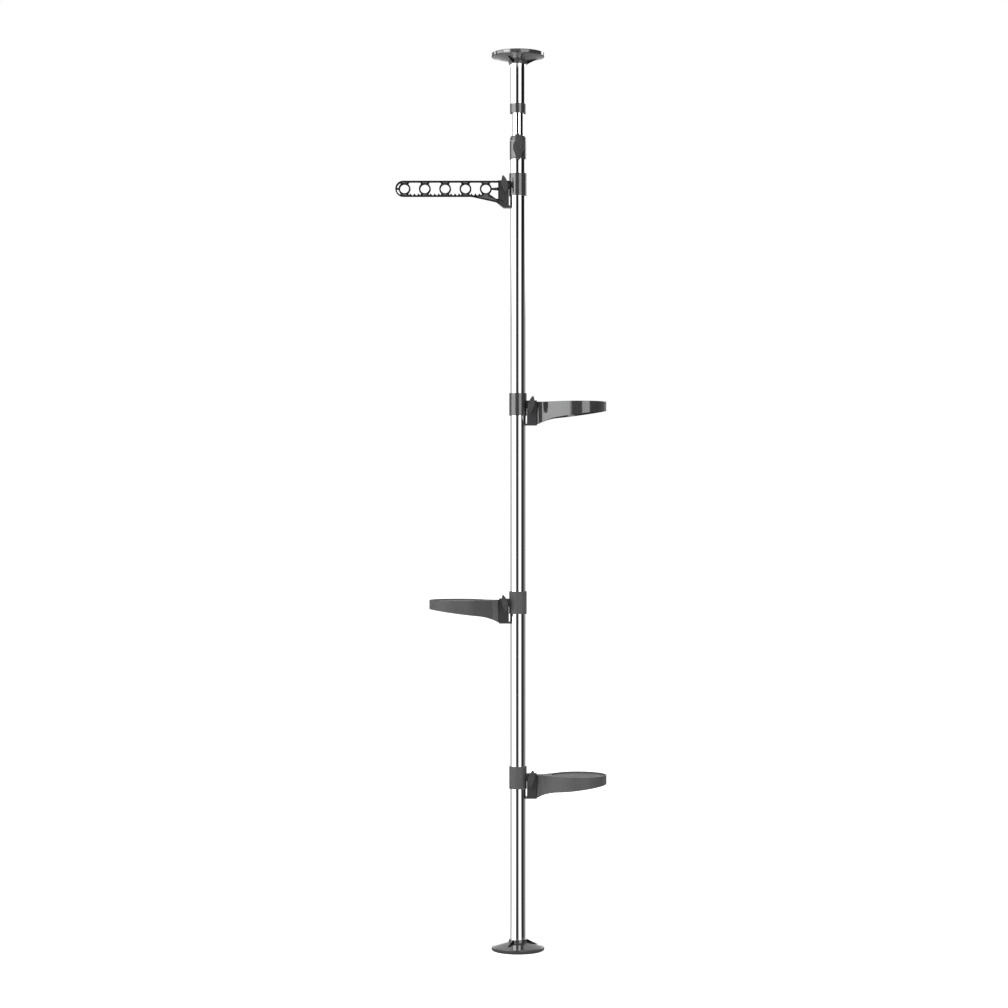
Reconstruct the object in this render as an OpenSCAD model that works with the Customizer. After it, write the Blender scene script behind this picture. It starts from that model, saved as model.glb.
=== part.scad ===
/* [Pole] */
// Outside diameter of the main tube and of the jack tube
tube_d = 32; // [30:0.5:36]
// Wall of the main tube and of the jack tube
tube_wall = 1.2; // [0.8:0.1:1.6]
// Length of the main tube
main_len = 1596; // [1590:1:1700]
// Outside diameter of the inner tube
inner_d = 24; // [21:0.5:25]
// Wall of the inner tube
inner_wall = 1.2; // [0.8:0.1:1.6]
// Length of the inner tube
inner_len = 1300; // [900:10:1500]
// Height of the guide bush on the foot of the inner tube
guide_h = 30; // [20:1:50]

/* [Floor and ceiling discs] */
// Diameter of each disc
disc_d = 108; // [104:1:130]
// Height of the disc's outer edge, pad included
rim_h = 8; // [7:0.5:12]
// Rise of the cone from the edge to the hub
cone_h = 8.3; // [6:0.1:12]
// Height of the hub above the cone
hub_h = 6.2; // [4:0.1:12]
// Wall of the hub around the tube
hub_wall = 2.6; // [2:0.1:4]
// Floor of the disc under the end of the tube
web_t = 5; // [4.5:0.5:8]
// Thickness of the rubber pad
pad_t = 3; // [2:0.5:4]
// How far the pad stands proud of the disc's edge
pad_proud = 1; // [0.5:0.1:1.5]
// Width of the disc's edge around the pad
pad_rim = 1.5; // [1.2:0.1:4]
// Thickness of each of the three gussets
gusset_t = 3; // [2:0.5:5]
// Reach of each gusset out from the hub
gusset_reach = 20; // [12:1:26]
// Diameter of the screw through each disc
screw_d = 6; // [5:0.5:8]
// Diameter of that screw's head
screw_head_d = 13; // [11:0.5:16]
// Height of that screw's head
screw_head_h = 2.5; // [2:0.1:3.5]
// Length of the plug in the end of a tube
plug_len = 30; // [24:1:40]

/* [Height lock] */
// Outside diameter of the lock body
lock_d = 34; // [33:0.5:40]
// Height of the lock body above the main tube
lock_h = 48; // [40:1:60]
// Height of the rounded shoulder
shoulder_h = 12; // [6:1:16]
// Width of the lock body's top edge
shoulder_lip = 0.8; // [0.4:0.1:1.5]
// Depth of the spigot inside the main tube
spigot_h = 30; // [20:1:45]
// Height of the knob's axis above the main tube
lock_axis_up = 22; // [20:0.5:28]
// Diameter of the boss that carries the lock screw
lock_boss_d = 16; // [14:0.5:18]
// How far the boss stands proud of the lock body
lock_boss_out = 2.5; // [2:0.1:5]
// Length of the lock knob's wing
lock_wing_l = 57; // [45:1:62]
// Width of the lock knob's wing
lock_wing_w = 23; // [16:0.5:25]
// Lean of that wing in degrees
lock_wing_lean = -3; // [-8:1:8]

/* [Jack] */
// Bare inner tube between the lock body and the end sleeve
bare_h = 46; // [42:1:80]
// Height of the end sleeve
sleeve_h = 19; // [12:1:30]
// How far the end sleeve stands proud of the jack tube
sleeve_proud = 0.5; // [0.3:0.1:1]
// Depth of the end sleeve's spigot inside the jack tube
sleeve_spigot = 14; // [8:1:20]
// Length of the jack tube
jack_len = 95; // [90:1:160]
// Room between the jack nut and the plug above it
jack_room = 20; // [12:1:24]
// Length of the jack nut in the inner tube
nut_len = 20; // [16:1:30]
// Diameter of the jack screw
jack_screw_d = 12; // [10:0.5:14]
// Length of the jack screw below its plug
jack_screw_len = 85; // [82:1:110]

/* [Collars] */
// Height of a collar
collar_h = 46; // [40:1:50]
// Wall of a collar
collar_wall = 1.4; // [1.2:0.1:3]
// Wall of the grip liner inside a collar
liner_wall = 0.5; // [0.4:0.1:1]
// Slit across a collar and its liner
slit_w = 3; // [2:0.5:4]
// Thickness of each ear
ear_t = 4.7; // [3.5:0.1:6]
// Radius of the ears about the pivot bolt
ear_r = 8; // [7:0.5:8.2]
// Pivot bolt's distance from the face of the collar
bolt_out = 9; // [8.8:0.1:12]
// Middle of the hook arm's collar, below the top of the main tube
hook_below = 51; // [48:1:104]
// Middle of the upper tray's collar, below the top of the main tube
upper_below = 497; // [424:1:540]
// Middle of the middle tray's collar, below the top of the main tube
middle_below = 899; // [840:1:960]
// Middle of the lower tray's collar, below the top of the main tube
lower_below = 1254; // [1180:1:1400]

/* [Arm roots] */
// Thickness of each cheek of the fork
cheek_t = 4.5; // [3:0.1:6]
// Length of the fork block outwards
block_l = 20; // [19:0.5:22]
// Fork block's top above the pivot on a tray
block_top = 8; // [7:0.1:8.2]
// Fork block's foot below the pivot on a tray
block_drop = 42.5; // [36:0.5:50]
// Fork block's foot below the pivot on the hook arm
hook_drop = 46.5; // [42:0.5:52]
// Thickness of the saddle lip that bears on the tube
lip_t = 3.5; // [2.5:0.5:6]
// Width of the seam cut between the block and the arm
seam_w = 0.8; // [0.5:0.1:1.5]

/* [Trays] */
// Distance of the middle of a tray's plate from the middle of the pole
plate_x = 123; // [116:1:180]
// Radius of a tray's round plate
plate_r = 57; // [45:1:58]
// Width of the neck between the block and the plate
neck_w = 23; // [18:0.5:28]
// Straight length of the neck beyond the block
neck_l = 7; // [5:1:8]
// Radius where the neck opens out towards the plate
neck_fillet = 12; // [6:1:14]
// Height of a tray's rim above the pivot
tray_top = 5.5; // [4:0.5:6.5]
// Depth of the plate inside the rim
tray_dish = 2.5; // [1:0.5:3.5]
// Thickness of the plate
plate_t = 3; // [2:0.5:4]
// Thickness of the skirt around a tray
skirt_t = 3; // [2:0.5:4]
// Depth of the skirt at the tip, below the pivot
skirt_tip = 13; // [11:0.5:16]
// Extra depth of the skirt for each millimetre towards the pole
skirt_slope = 0.135; // [0.1:0.005:0.16]
// Extra depth of the skirt where it meets the block
root_flare = 8.8; // [6:0.2:12]
// Thickness of the ribs under the plate
rib_t = 2; // [1.5:0.1:3]
// Depth of the ribs under the plate
rib_h = 9; // [5:0.5:10]

/* [Hook arm] */
// Reach of the hook arm from the middle of the pole
hook_reach = 249; // [246:1:300]
// Height of the flat bar
bar_h = 32; // [30:0.5:36]
// Top of the flat bar above the pivot
bar_top = 8; // [7:0.1:8.2]
// Thickness of the flat bar
bar_t = 9; // [6:0.5:12]
// Number of rings
ring_count = 5; // [3:1:5]
// Distance between rings
ring_pitch = 41.25; // [38:0.25:42]
// Distance of the first ring from the middle of the pole
ring_first = 65.3; // [62:0.1:68]
// Bore of each ring
ring_bore = 18.1; // [14:0.1:19]
// Wall of each ring
ring_wall = 3; // [2.5:0.1:3.4]
// Thickness of the top rail
rail_top_t = 3; // [2:0.1:3.2]
// Thickness of the bottom rail
rail_low_t = 2.5; // [2:0.1:2.7]
// Radius of the flares between a ring and the rails
flare_r = 3; // [2:0.5:4]
// Thickness of the short struts at both ends of the row of rings
strut_t = 3; // [2:0.5:5]
// Height of each tooth on the bottom rail
tooth_h = 4; // [2:0.5:5]
// Width of each tooth at its foot
tooth_w = 5.5; // [4:0.5:7]
// Distance between teeth
tooth_pitch = 8.2; // [7.2:0.1:9]
// Thickness of the gusset under the bar
brace_t = 6.5; // [4:0.5:8]

/* [Clamp knobs] */
// Diameter of a pivot bolt
bolt_d = 6; // [5:0.5:8]
// Width of a bolt head across its corners
bolt_head_d = 11.5; // [10:0.5:13]
// Height of a bolt head
bolt_head_h = 4; // [3:0.5:5]
// Depth of the pocket that holds the bolt head
head_pocket = 2.5; // [1.5:0.1:2.8]
// Thickness of the washer under a knob
washer_t = 1; // [0.6:0.1:1.6]
// Diameter of that washer
washer_d = 12.5; // [11:0.5:14]
// Diameter of a knob's hub
knob_hub_d = 13; // [11.5:0.5:14]
// Length of a knob's hub
knob_hub_l = 6.4; // [6.3:0.1:10]
// Length of a knob's wing
wing_l = 33; // [26:0.5:34]
// Width of a knob's wing
wing_w = 12; // [10:0.5:14]
// Thickness of a knob's wing
wing_t = 7; // [5:0.5:9]
// Wall of the threaded insert in a knob
insert_wall = 1.5; // [1:0.1:2]
// Lean of a knob's wing away from the pole
wing_lean = 12; // [0:1:30]

/* [Hidden] */

// Depth to which one drawn shape runs into the next
weld = 0.5;
// The same where a curve meets another one
bite = 0.05;
$fn = 96;

// Gaps between pieces: turning or sliding, assembled and still, and passing each other
run_gap = 0.05;
fit_gap = 0.1;
pass_gap = 0.3;
// Overshoot of every cut past the face that it opens
cut = 1;

plastic = [0.30, 0.30, 0.31];
knob_plastic = [0.24, 0.24, 0.25];
steel = [0.86, 0.87, 0.88];
rubber = [0.12, 0.12, 0.12];
brass = [0.75, 0.62, 0.35];
nylon = [0.80, 0.80, 0.78];

// Pole
tube_r = tube_d / 2;
tube_bore_r = tube_r - tube_wall;
inner_r = inner_d / 2;
inner_bore_r = inner_r - inner_wall;
seat_z = pad_t + web_t;
main_top = seat_z + main_len;
lock_top = main_top + lock_h;
hook_z = main_top - hook_below;
upper_z = main_top - upper_below;
middle_z = main_top - middle_below;
lower_z = main_top - lower_below;
sleeve_z = lock_top + bare_h;
jack_z = sleeve_z + sleeve_h;
jack_top = jack_z + jack_len;
total_h = jack_top + seat_z;
plug_z = jack_top - plug_len;
nut_flange = 2;
guide_flange = 3;
// Depth of the socket that holds the jack screw in its plug
screw_socket = 7.5;
inner_top = plug_z - jack_room - nut_flange;
inner_z = inner_top - inner_len;
plug_r = tube_bore_r - fit_gap;

// Discs
disc_r = disc_d / 2;
pad_r = disc_r - pad_rim;
hub_r = tube_r + pass_gap + hub_wall;
cone_z = rim_h + cone_h;
hub_z = cone_z + hub_h;
disc_edge = 1;
// Gusset: depth sunk into the disc, height of its toe, step below the top of the hub
gusset_sink = 1.2;
gusset_toe = 0.3;
gusset_step = 0.8;
// Part of the plug's length that its screw fills
screw_grip_l = plug_len * 0.6;
screw_r = screw_d / 2;

// Lock
lock_r = lock_d / 2;
lock_axis_z = main_top + lock_axis_up;
lock_face = lock_r + lock_boss_out;
lock_bore_r = inner_r + run_gap;
lock_screw_r = 3;
shoe_t = 2;
lock_insert_r = 5;
lock_insert_l = 5;
lock_wing_t = 7;
lock_hub_l = 4.2;
lock_hub_r = lock_boss_d / 2;
lock_screw_y = inner_r + pass_gap + shoe_t + fit_gap;
lock_knob_y = lock_face + pass_gap;
// How far the clamp screw reaches into the wing of its knob
lock_screw_bite = 2;
shoulder_steps = 10;
shoulder_top_r = lock_bore_r + shoulder_lip;

// Collars and their pivots
liner_in_r = tube_r + run_gap;
liner_r = liner_in_r + liner_wall;
collar_bore_r = liner_r + run_gap;
collar_r = collar_bore_r + collar_wall;
collar_chamfer = 0.6;
bolt_x = collar_r + bolt_out;
bolt_r = bolt_d / 2;
ear_y = slit_w / 2 + ear_t;

// Fork of an arm
fork_y = ear_y + pass_gap;
cheek_y = fork_y + cheek_t;
block_gap = 0.4;
block_x = collar_r + block_gap;
block_end = block_x + block_l;
nose_r = bolt_out - block_gap;
nose_steps = 6;
// Room below and beyond the ears in the slot of the fork
slot_gap = 1;
slot_end = bolt_x + ear_r + slot_gap;
saddle_r = tube_r + pass_gap;
// Distance that the saddle lip reaches along the tube's side
lip_l = 4.6;
lip_x = saddle_r - lip_l;

// Trays
tray_reach = plate_x + plate_r;
neck_y = neck_w / 2;
floor_z = tray_top - tray_dish;
// End of the straight neck, from the middle of the plate, and the angle at which the flank leaves it
neck_x = block_end + neck_l - plate_x;
flank_rise = (plate_r + neck_fillet) / norm([neck_x, neck_y + neck_fillet]);
flank_turn = asin(min(1, flank_rise)) - atan2(neck_y + neck_fillet, -neck_x);
// Length over which the skirt deepens towards the block, and the block's flat foot
flare_l = 42;
foot_l = 14;
flare_end = block_end + flare_l;
edge_steps = 12;

// Hook arm
ring_r = ring_bore / 2;
ring_out = ring_r + ring_wall;
bar_low = bar_top - bar_h;
nose_x = hook_reach - bar_h / 2;
bar_mid = bar_top - bar_h / 2;
ring_z = (bar_top - rail_top_t + bar_low + rail_low_t) / 2;
ring_room = (bar_h - rail_top_t - rail_low_t) / 2;
flare_z = ring_room - flare_r + bite;
flare_x = sqrt(pow(ring_out + flare_r - bite, 2) - pow(flare_z, 2));
ring_mid = (ring_r + ring_out) / 2;
// Brace: where it runs out under the rail, its knee beyond and below, and its heel
brace_end = ring_first + ring_pitch * 0.7;
knee_l = 6;
knee_drop = 11;
heel_l = 11;
knee_x = block_end + knee_l;
knee_z = bar_low - knee_drop;
heel_x = block_x + heel_l;
function heel_line(x) = -hook_drop + (x - heel_x) * (knee_z + hook_drop) / (knee_x - heel_x);
flare_steps = 6;
// Seam across both cheeks of the hook arm's block, below the pivot
seam_drop = 20;

// Knobs
washer_y = cheek_y + washer_t;
knob_y = washer_y + fit_gap;
wing_y = knob_y + knob_hub_l;
insert_l = 5;
insert_r = bolt_r + fit_gap + insert_wall;

module ring(outer, inner, height) {
    difference() {
        cylinder(r = outer, h = height);
        translate([0, 0, -cut]) cylinder(r = inner, h = height + 2 * cut);
    }
}

// A cylinder that starts at y and runs towards the viewer's side
module front_cylinder(radius, length, sides = $fn) {
    rotate([90, 0, 0]) cylinder(r = radius, h = length, $fn = sides);
}

// Pointed wing of a knob, lying across Y, from y = 0 towards the viewer's side
module wing(length, width, thickness) {
    point = length / 2 + width / 8;
    arc_r = (pow(point, 2) + pow(width / 2, 2)) / width;
    shift = arc_r - width / 2;
    intersection() {
        translate([shift, 0, 0]) front_cylinder(arc_r, thickness);
        translate([-shift, 0, 0]) front_cylinder(arc_r, thickness);
        translate([-width / 2, -thickness, -length / 2]) cube([width, thickness, length]);
    }
}

// Shapes of the floor and ceiling discs, standing on z = 0
module pad_shape() {
    cylinder(r = pad_r, h = pad_t);
}

module gusset() {
    slope = cone_h / (disc_r - disc_edge - hub_r);
    foot_x = hub_r + gusset_reach;
    foot_z = cone_z - gusset_reach * slope;
    translate([0, gusset_t / 2, 0]) rotate([90, 0, 0]) linear_extrude(gusset_t)
        polygon([
            [hub_r - gusset_sink, foot_z - gusset_sink],
            [foot_x, foot_z - gusset_sink],
            [foot_x, foot_z + gusset_toe],
            [hub_r, hub_z - gusset_step],
            [hub_r - gusset_sink, hub_z - gusset_step]
        ]);
}

module disc_shape(socket_gap) {
    difference() {
        union() {
            rotate_extrude()
                polygon([
                    [0, pad_t],
                    [pad_r + fit_gap, pad_t],
                    [pad_r + fit_gap, pad_proud],
                    [disc_r, pad_proud],
                    [disc_r, rim_h - disc_edge],
                    [disc_r - disc_edge, rim_h],
                    [hub_r, cone_z],
                    [hub_r, hub_z - disc_edge / 2],
                    [hub_r - disc_edge / 2, hub_z],
                    [0, hub_z]
                ]);
            for (turn = [0, 120, 240]) rotate([0, 0, turn]) gusset();
        }
        translate([0, 0, seat_z]) cylinder(r = tube_r + socket_gap, h = hub_z);
        cylinder(r = screw_r + fit_gap, h = seat_z + cut);
        translate([0, 0, pad_t - cut])
            cylinder(r = screw_head_d / 2 + fit_gap, h = screw_head_h + cut);
    }
}

module screw_shape() {
    translate([0, 0, pad_t]) cylinder(r = screw_head_d / 2, h = screw_head_h);
    translate([0, 0, pad_t]) cylinder(r = screw_r - fit_gap / 2, h = web_t + screw_grip_l);
}

module plug_shape() {
    translate([0, 0, seat_z]) difference() {
        cylinder(r = plug_r, h = plug_len);
        translate([0, 0, -cut]) cylinder(r = screw_r, h = screw_grip_l + 2 * cut);
    }
}

module at_ceiling() {
    translate([0, 0, total_h]) mirror([0, 0, 1]) children();
}

module floor_pad() {
    color(rubber) pad_shape();
}

module floor_disc() {
    color(plastic) disc_shape(fit_gap);
}

module floor_screw() {
    color(steel) screw_shape();
}

module floor_plug() {
    color(nylon) plug_shape();
}

module ceiling_pad() {
    color(rubber) at_ceiling() pad_shape();
}

module ceiling_disc() {
    color(plastic) at_ceiling() disc_shape(pass_gap);
}

module ceiling_screw() {
    color(steel) at_ceiling() screw_shape();
}

// Main tube and height lock
module main_tube() {
    color(steel) translate([0, 0, seat_z]) ring(tube_r, tube_bore_r, main_len);
}

// Point of the round shoulder at an angle from its foot
function shoulder_point(a) = [
    shoulder_top_r + (lock_r - shoulder_top_r) * cos(a),
    lock_top - shoulder_h + shoulder_h * sin(a)
];

module lock_body() {
    color(plastic) difference() {
        union() {
            rotate_extrude()
                polygon(concat(
                    [
                        [0, main_top - spigot_h],
                        [tube_bore_r - fit_gap, main_top - spigot_h],
                        [tube_bore_r - fit_gap, main_top],
                        [lock_r, main_top]
                    ],
                    [for (i = [0 : shoulder_steps]) shoulder_point(90 * i / shoulder_steps)],
                    [[0, lock_top]]
                ));
            translate([0, 0, lock_axis_z]) front_cylinder(lock_boss_d / 2, lock_face);
        }
        translate([0, 0, main_top - spigot_h - cut])
            cylinder(r = lock_bore_r, h = spigot_h + lock_h + 2 * cut);
        translate([0, 0, lock_axis_z]) front_cylinder(lock_screw_r + fit_gap, lock_face + cut);
        translate([0, lock_insert_l - lock_face, lock_axis_z])
            front_cylinder(lock_insert_r + fit_gap / 2, lock_insert_l + cut);
    }
}

module lock_insert() {
    color(brass) translate([0, lock_insert_l - lock_face, lock_axis_z]) difference() {
        front_cylinder(lock_insert_r, lock_insert_l);
        translate([0, cut, 0]) front_cylinder(lock_screw_r + fit_gap, lock_insert_l + 2 * cut);
    }
}

module lock_shoe() {
    color(nylon) translate([0, -inner_r - pass_gap, lock_axis_z]) front_cylinder(lock_screw_r, shoe_t);
}

module lock_screw() {
    length = lock_knob_y + lock_hub_l + lock_screw_bite - lock_screw_y;
    color(steel) translate([0, -lock_screw_y, lock_axis_z]) front_cylinder(lock_screw_r, length);
}

module lock_knob() {
    color(knob_plastic) translate([0, -lock_knob_y, lock_axis_z]) difference() {
        union() {
            front_cylinder(lock_hub_r, lock_hub_l + cut);
            translate([0, -lock_hub_l, 0]) rotate([0, lock_wing_lean, 0])
                wing(lock_wing_l, lock_wing_w, lock_wing_t);
        }
        translate([0, cut, 0])
            front_cylinder(lock_screw_r + fit_gap / 2, lock_hub_l + lock_screw_bite + cut);
    }
}

// Inner tube and what it carries
module inner_tube() {
    color(steel) translate([0, 0, inner_z]) ring(inner_r, inner_bore_r, inner_len);
}

module inner_guide() {
    color(nylon) translate([0, 0, inner_z - guide_flange]) difference() {
        cylinder(r = tube_bore_r - run_gap, h = guide_h + guide_flange);
        translate([0, 0, guide_flange]) cylinder(r = inner_r + fit_gap / 2, h = guide_h + cut);
        translate([0, 0, -cut]) cylinder(r = inner_bore_r, h = guide_flange + 2 * cut);
    }
}

module jack_nut() {
    color(nylon) difference() {
        union() {
            translate([0, 0, inner_top - nut_len]) cylinder(r = inner_bore_r - run_gap, h = nut_len);
            translate([0, 0, inner_top]) cylinder(r = inner_r, h = nut_flange);
        }
        translate([0, 0, inner_top - nut_len - cut])
            cylinder(r = jack_screw_d / 2 + fit_gap, h = nut_len + nut_flange + 2 * cut);
    }
}

// Jack tube and what turns with it
module jack_tube() {
    color(steel) translate([0, 0, jack_z]) ring(tube_r, tube_bore_r, jack_len);
}

module end_sleeve() {
    color(plastic) difference() {
        union() {
            translate([0, 0, sleeve_z]) cylinder(r = tube_r + sleeve_proud, h = sleeve_h);
            translate([0, 0, sleeve_z])
                cylinder(r = tube_bore_r - fit_gap, h = sleeve_h + sleeve_spigot);
        }
        translate([0, 0, sleeve_z - cut])
            cylinder(r = inner_r + run_gap, h = sleeve_h + sleeve_spigot + 2 * cut);
    }
}

module jack_plug() {
    color(nylon) difference() {
        at_ceiling() plug_shape();
        translate([0, 0, plug_z - cut])
            cylinder(r = jack_screw_d / 2 + fit_gap / 2, h = screw_socket + cut);
    }
}

module jack_screw() {
    color(steel) translate([0, 0, plug_z - jack_screw_len])
        cylinder(r = jack_screw_d / 2, h = jack_screw_len + screw_socket);
}

// Places of the four arms: height of the pivot and the side that the arm points to
module at_arm(z, left) {
    translate([0, 0, z]) mirror([left ? 1 : 0, 0, 0]) children();
}

module liner_shape() {
    color(nylon) translate([0, 0, -collar_h / 2]) difference() {
        ring(liner_r, liner_in_r, collar_h);
        translate([0, -slit_w / 2, -cut]) cube([liner_r + cut, slit_w, collar_h + 2 * cut]);
    }
}

module collar_shape() {
    half = collar_h / 2;
    color(plastic) difference() {
        union() {
            rotate_extrude()
                polygon([
                    [0, -half],
                    [collar_r - collar_chamfer, -half],
                    [collar_r, collar_chamfer - half],
                    [collar_r, half - collar_chamfer],
                    [collar_r - collar_chamfer, half],
                    [0, half]
                ]);
            translate([collar_bore_r - cut, -ear_y, -ear_r])
                cube([bolt_x - collar_bore_r + cut, 2 * ear_y, 2 * ear_r]);
            translate([bolt_x, ear_y, 0]) front_cylinder(ear_r, 2 * ear_y);
        }
        translate([0, 0, -half - cut]) cylinder(r = collar_bore_r, h = collar_h + 2 * cut);
        translate([0, -slit_w / 2, -half - cut])
            cube([bolt_x + ear_r + cut, slit_w, collar_h + 2 * cut]);
        translate([bolt_x, ear_y + cut, 0]) front_cylinder(bolt_r + fit_gap, 2 * (ear_y + cut));
    }
}

// Round top corner of the fork block, from its inner face to its top edge
function nose_arc(top) = [
    for (i = [0 : nose_steps])
        let (a = asin(top / nose_r) * i / nose_steps)
        [bolt_x - nose_r * cos(a), nose_r * sin(a)]
];

// Everything that the fork block needs cut away: slot for the ears, bolt hole and head pocket
module fork_cuts() {
    translate([0, -fork_y, -ear_r - slot_gap])
        cube([slot_end, 2 * fork_y, ear_r + slot_gap + bar_h]);
    translate([bolt_x, cheek_y + cut, 0]) front_cylinder(bolt_r + fit_gap, 2 * (cheek_y + cut));
    translate([bolt_x, cheek_y + cut, 0])
        front_cylinder(bolt_head_d / 2 + fit_gap, head_pocket + cut, 6);
    cylinder(r = saddle_r, h = 4 * block_drop, center = true);
}

// Slab across Y of an outline drawn in X and Z
module slab(width) {
    translate([0, width / 2, 0]) rotate([90, 0, 0]) linear_extrude(width) children();
}

// Plan of a tray beyond its block, drawn inset by the given amount: a straight neck, then a
// fillet and a straight flank that touches the round plate
module tray_plan(inset) {
    side = neck_y - inset;
    fillet = neck_fillet + inset;
    plate = plate_r - inset;
    start_x = block_end - plate_x + inset;
    flank = [
        [start_x, side],
        [neck_x, side],
        [neck_x + fillet * sin(flank_turn), side + fillet * (1 - cos(flank_turn))],
        [-plate * sin(flank_turn), plate * cos(flank_turn)]
    ];
    circle(plate);
    difference() {
        polygon(concat(flank, [for (i = [3 : -1 : 0]) [flank[i][0], -flank[i][1]]]));
        for (hand = [-1, 1]) translate([neck_x, hand * (side + fillet)]) circle(fillet);
    }
}

// Height of the skirt's lower edge at a distance from the pole
function edge_z(x) =
    -skirt_tip - skirt_slope * (tray_reach - x)
    - root_flare * pow(max(0, flare_end - x) / flare_l, 2);

module tray_side() {
    polygon(concat(
        [[lip_x, -block_drop], [block_x + foot_l, -block_drop]],
        [
            for (i = [0 : edge_steps])
                let (x = block_end + flare_l * i / edge_steps)
                [x, edge_z(x)]
        ],
        [
            [tray_reach + cut, edge_z(tray_reach + cut)],
            [tray_reach + cut, tray_top],
            [block_end, tray_top],
            [block_end, block_top]
        ],
        [for (i = [nose_steps : -1 : 0]) nose_arc(block_top)[i]],
        [[block_x, lip_t - block_drop], [lip_x, lip_t - block_drop]]
    ));
}

module tray_ribs() {
    translate([block_end, -rib_t / 2, -rib_h]) cube([tray_reach - block_end, rib_t, rib_h]);
    for (x = [-plate_r / 2, 0, plate_r / 2])
        translate([plate_x + x - rib_t / 2, -plate_r, -rib_h]) cube([rib_t, 2 * plate_r, rib_h]);
}

module tray_shape() {
    under = floor_z - plate_t;
    color(plastic) difference() {
        union() {
            intersection() {
                slab(4 * plate_r) tray_side();
                translate([0, 0, -2 * block_drop]) union() {
                    translate([plate_x, 0, 0]) linear_extrude(3 * block_drop) tray_plan(0);
                    translate([lip_x, -cheek_y, 0])
                        cube([block_end - lip_x, 2 * cheek_y, 3 * block_drop]);
                }
            }
        }
        fork_cuts();
        translate([plate_x, 0, floor_z]) cylinder(r = plate_r - skirt_t, h = plate_r);
        difference() {
            translate([plate_x, 0, under - 2 * block_drop]) linear_extrude(2 * block_drop)
                tray_plan(skirt_t);
            translate([0, 0, under]) tray_ribs();
        }
        for (side = [-1, 1])
            translate([block_end - seam_w / 2, side * neck_y - seam_w, -2 * block_drop])
                cube([seam_w, 2 * seam_w, 3 * block_drop]);
    }
}

// Flat bar with rings, in X and Z
module bar_side() {
    difference() {
        union() {
            translate([block_end - cut, bar_low]) square([nose_x - block_end + cut, bar_h]);
            translate([nose_x, bar_mid]) circle(bar_h / 2);
        }
        translate([block_end - 2 * cut, bar_low + rail_low_t])
            square([nose_x - block_end + 2 * cut, 2 * ring_room]);
        translate([nose_x, ring_z]) circle(ring_room);
        translate([block_end - 2 * cut, bar_low - cut])
            square([ring_first - block_end + 2 * cut, rail_low_t + 2 * cut]);
    }
    for (i = [0 : ring_count - 1])
        translate([ring_first + i * ring_pitch, ring_z]) ring_web();
    for (i = [0 : ring_count - 2], k = [-1 : 1])
        translate([ring_first + (i + 0.5) * ring_pitch + k * tooth_pitch, bar_low + rail_low_t])
            polygon([
                [-tooth_w / 2, -weld],
                [tooth_w / 2, -weld],
                [tooth_w / 2, 0],
                [tooth_w / 5, tooth_h],
                [-tooth_w / 2, 0]
            ]);
    first_x = ring_first - ring_out + cut;
    last_x = ring_first + (ring_count - 1) * ring_pitch + ring_out - cut;
    translate([0, ring_z])
        polygon([
            [block_end - cut, -strut_t],
            [first_x, -strut_t / 2],
            [first_x, strut_t / 2],
            [block_end - cut, strut_t]
        ]);
    translate([last_x, ring_z - strut_t / 2]) square([hook_reach - cut - last_x, strut_t]);
}

// Ring with four flares that run into the rails
module ring_web() {
    start = 180 + atan(flare_z / flare_x);
    circle(ring_out);
    for (hand = [-1, 1], side = [-1, 1])
        polygon(concat(
            [[-hand * weld, 0], [-hand * ring_mid * cos(start), -side * ring_mid * sin(start)]],
            [
                for (i = [0 : flare_steps])
                    let (a = start - (start - 90) * i / flare_steps)
                    [hand * (flare_x + flare_r * cos(a)), side * (flare_z + flare_r * sin(a))]
            ],
            [[hand * flare_x, side * (ring_room + weld)], [-hand * weld, side * (ring_room + weld)]]
        ));
}

// Sloping gusset from the foot of the block to the bottom rail, in X and Z
module brace_side() {
    polygon([
        [brace_end, bar_low + weld],
        [knee_x, knee_z],
        [block_end - cut, heel_line(block_end - cut) + weld / 2],
        [block_end - cut, knee_z + brace_t],
        [knee_x, knee_z + brace_t],
        [ring_first - flare_x - cut, bar_low + rail_low_t - weld / 2],
        [ring_first, bar_low + rail_low_t - weld / 2]
    ]);
}

module hook_block_side() {
    polygon(concat(
        [
            [lip_x, -hook_drop],
            [heel_x, -hook_drop],
            [block_end, heel_line(block_end)],
            [block_end, bar_top]
        ],
        [for (i = [nose_steps : -1 : 0]) nose_arc(bar_top)[i]],
        [[block_x, lip_t - hook_drop], [lip_x, lip_t - hook_drop]]
    ));
}

module hook_shape() {
    color(plastic) difference() {
        union() {
            slab(bar_t) {
                bar_side();
                brace_side();
            }
            slab(2 * cheek_y) hook_block_side();
        }
        fork_cuts();
        for (i = [0 : ring_count - 1])
            translate([ring_first + i * ring_pitch, bar_t, ring_z]) front_cylinder(ring_r, 2 * bar_t);
        for (side = [-1, 1])
            translate([block_x - cut, side * cheek_y - seam_w / 2, -seam_drop - seam_w / 2])
                cube([block_l + 2 * cut, seam_w, seam_w]);
    }
}

module bolt_shape() {
    head_y = cheek_y - head_pocket;
    color(steel) translate([bolt_x, head_y, 0]) {
        front_cylinder(bolt_r, head_y + knob_y + insert_l);
        translate([0, bolt_head_h, 0]) front_cylinder(bolt_head_d / 2, bolt_head_h, 6);
    }
}

module washer_shape() {
    color(steel) translate([bolt_x, -cheek_y, 0]) rotate([90, 0, 0])
        ring(washer_d / 2, bolt_r + fit_gap, washer_t);
}

module insert_shape() {
    color(brass) translate([bolt_x, -knob_y, 0]) rotate([90, 0, 0])
        ring(insert_r, bolt_r + fit_gap, insert_l);
}

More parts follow.
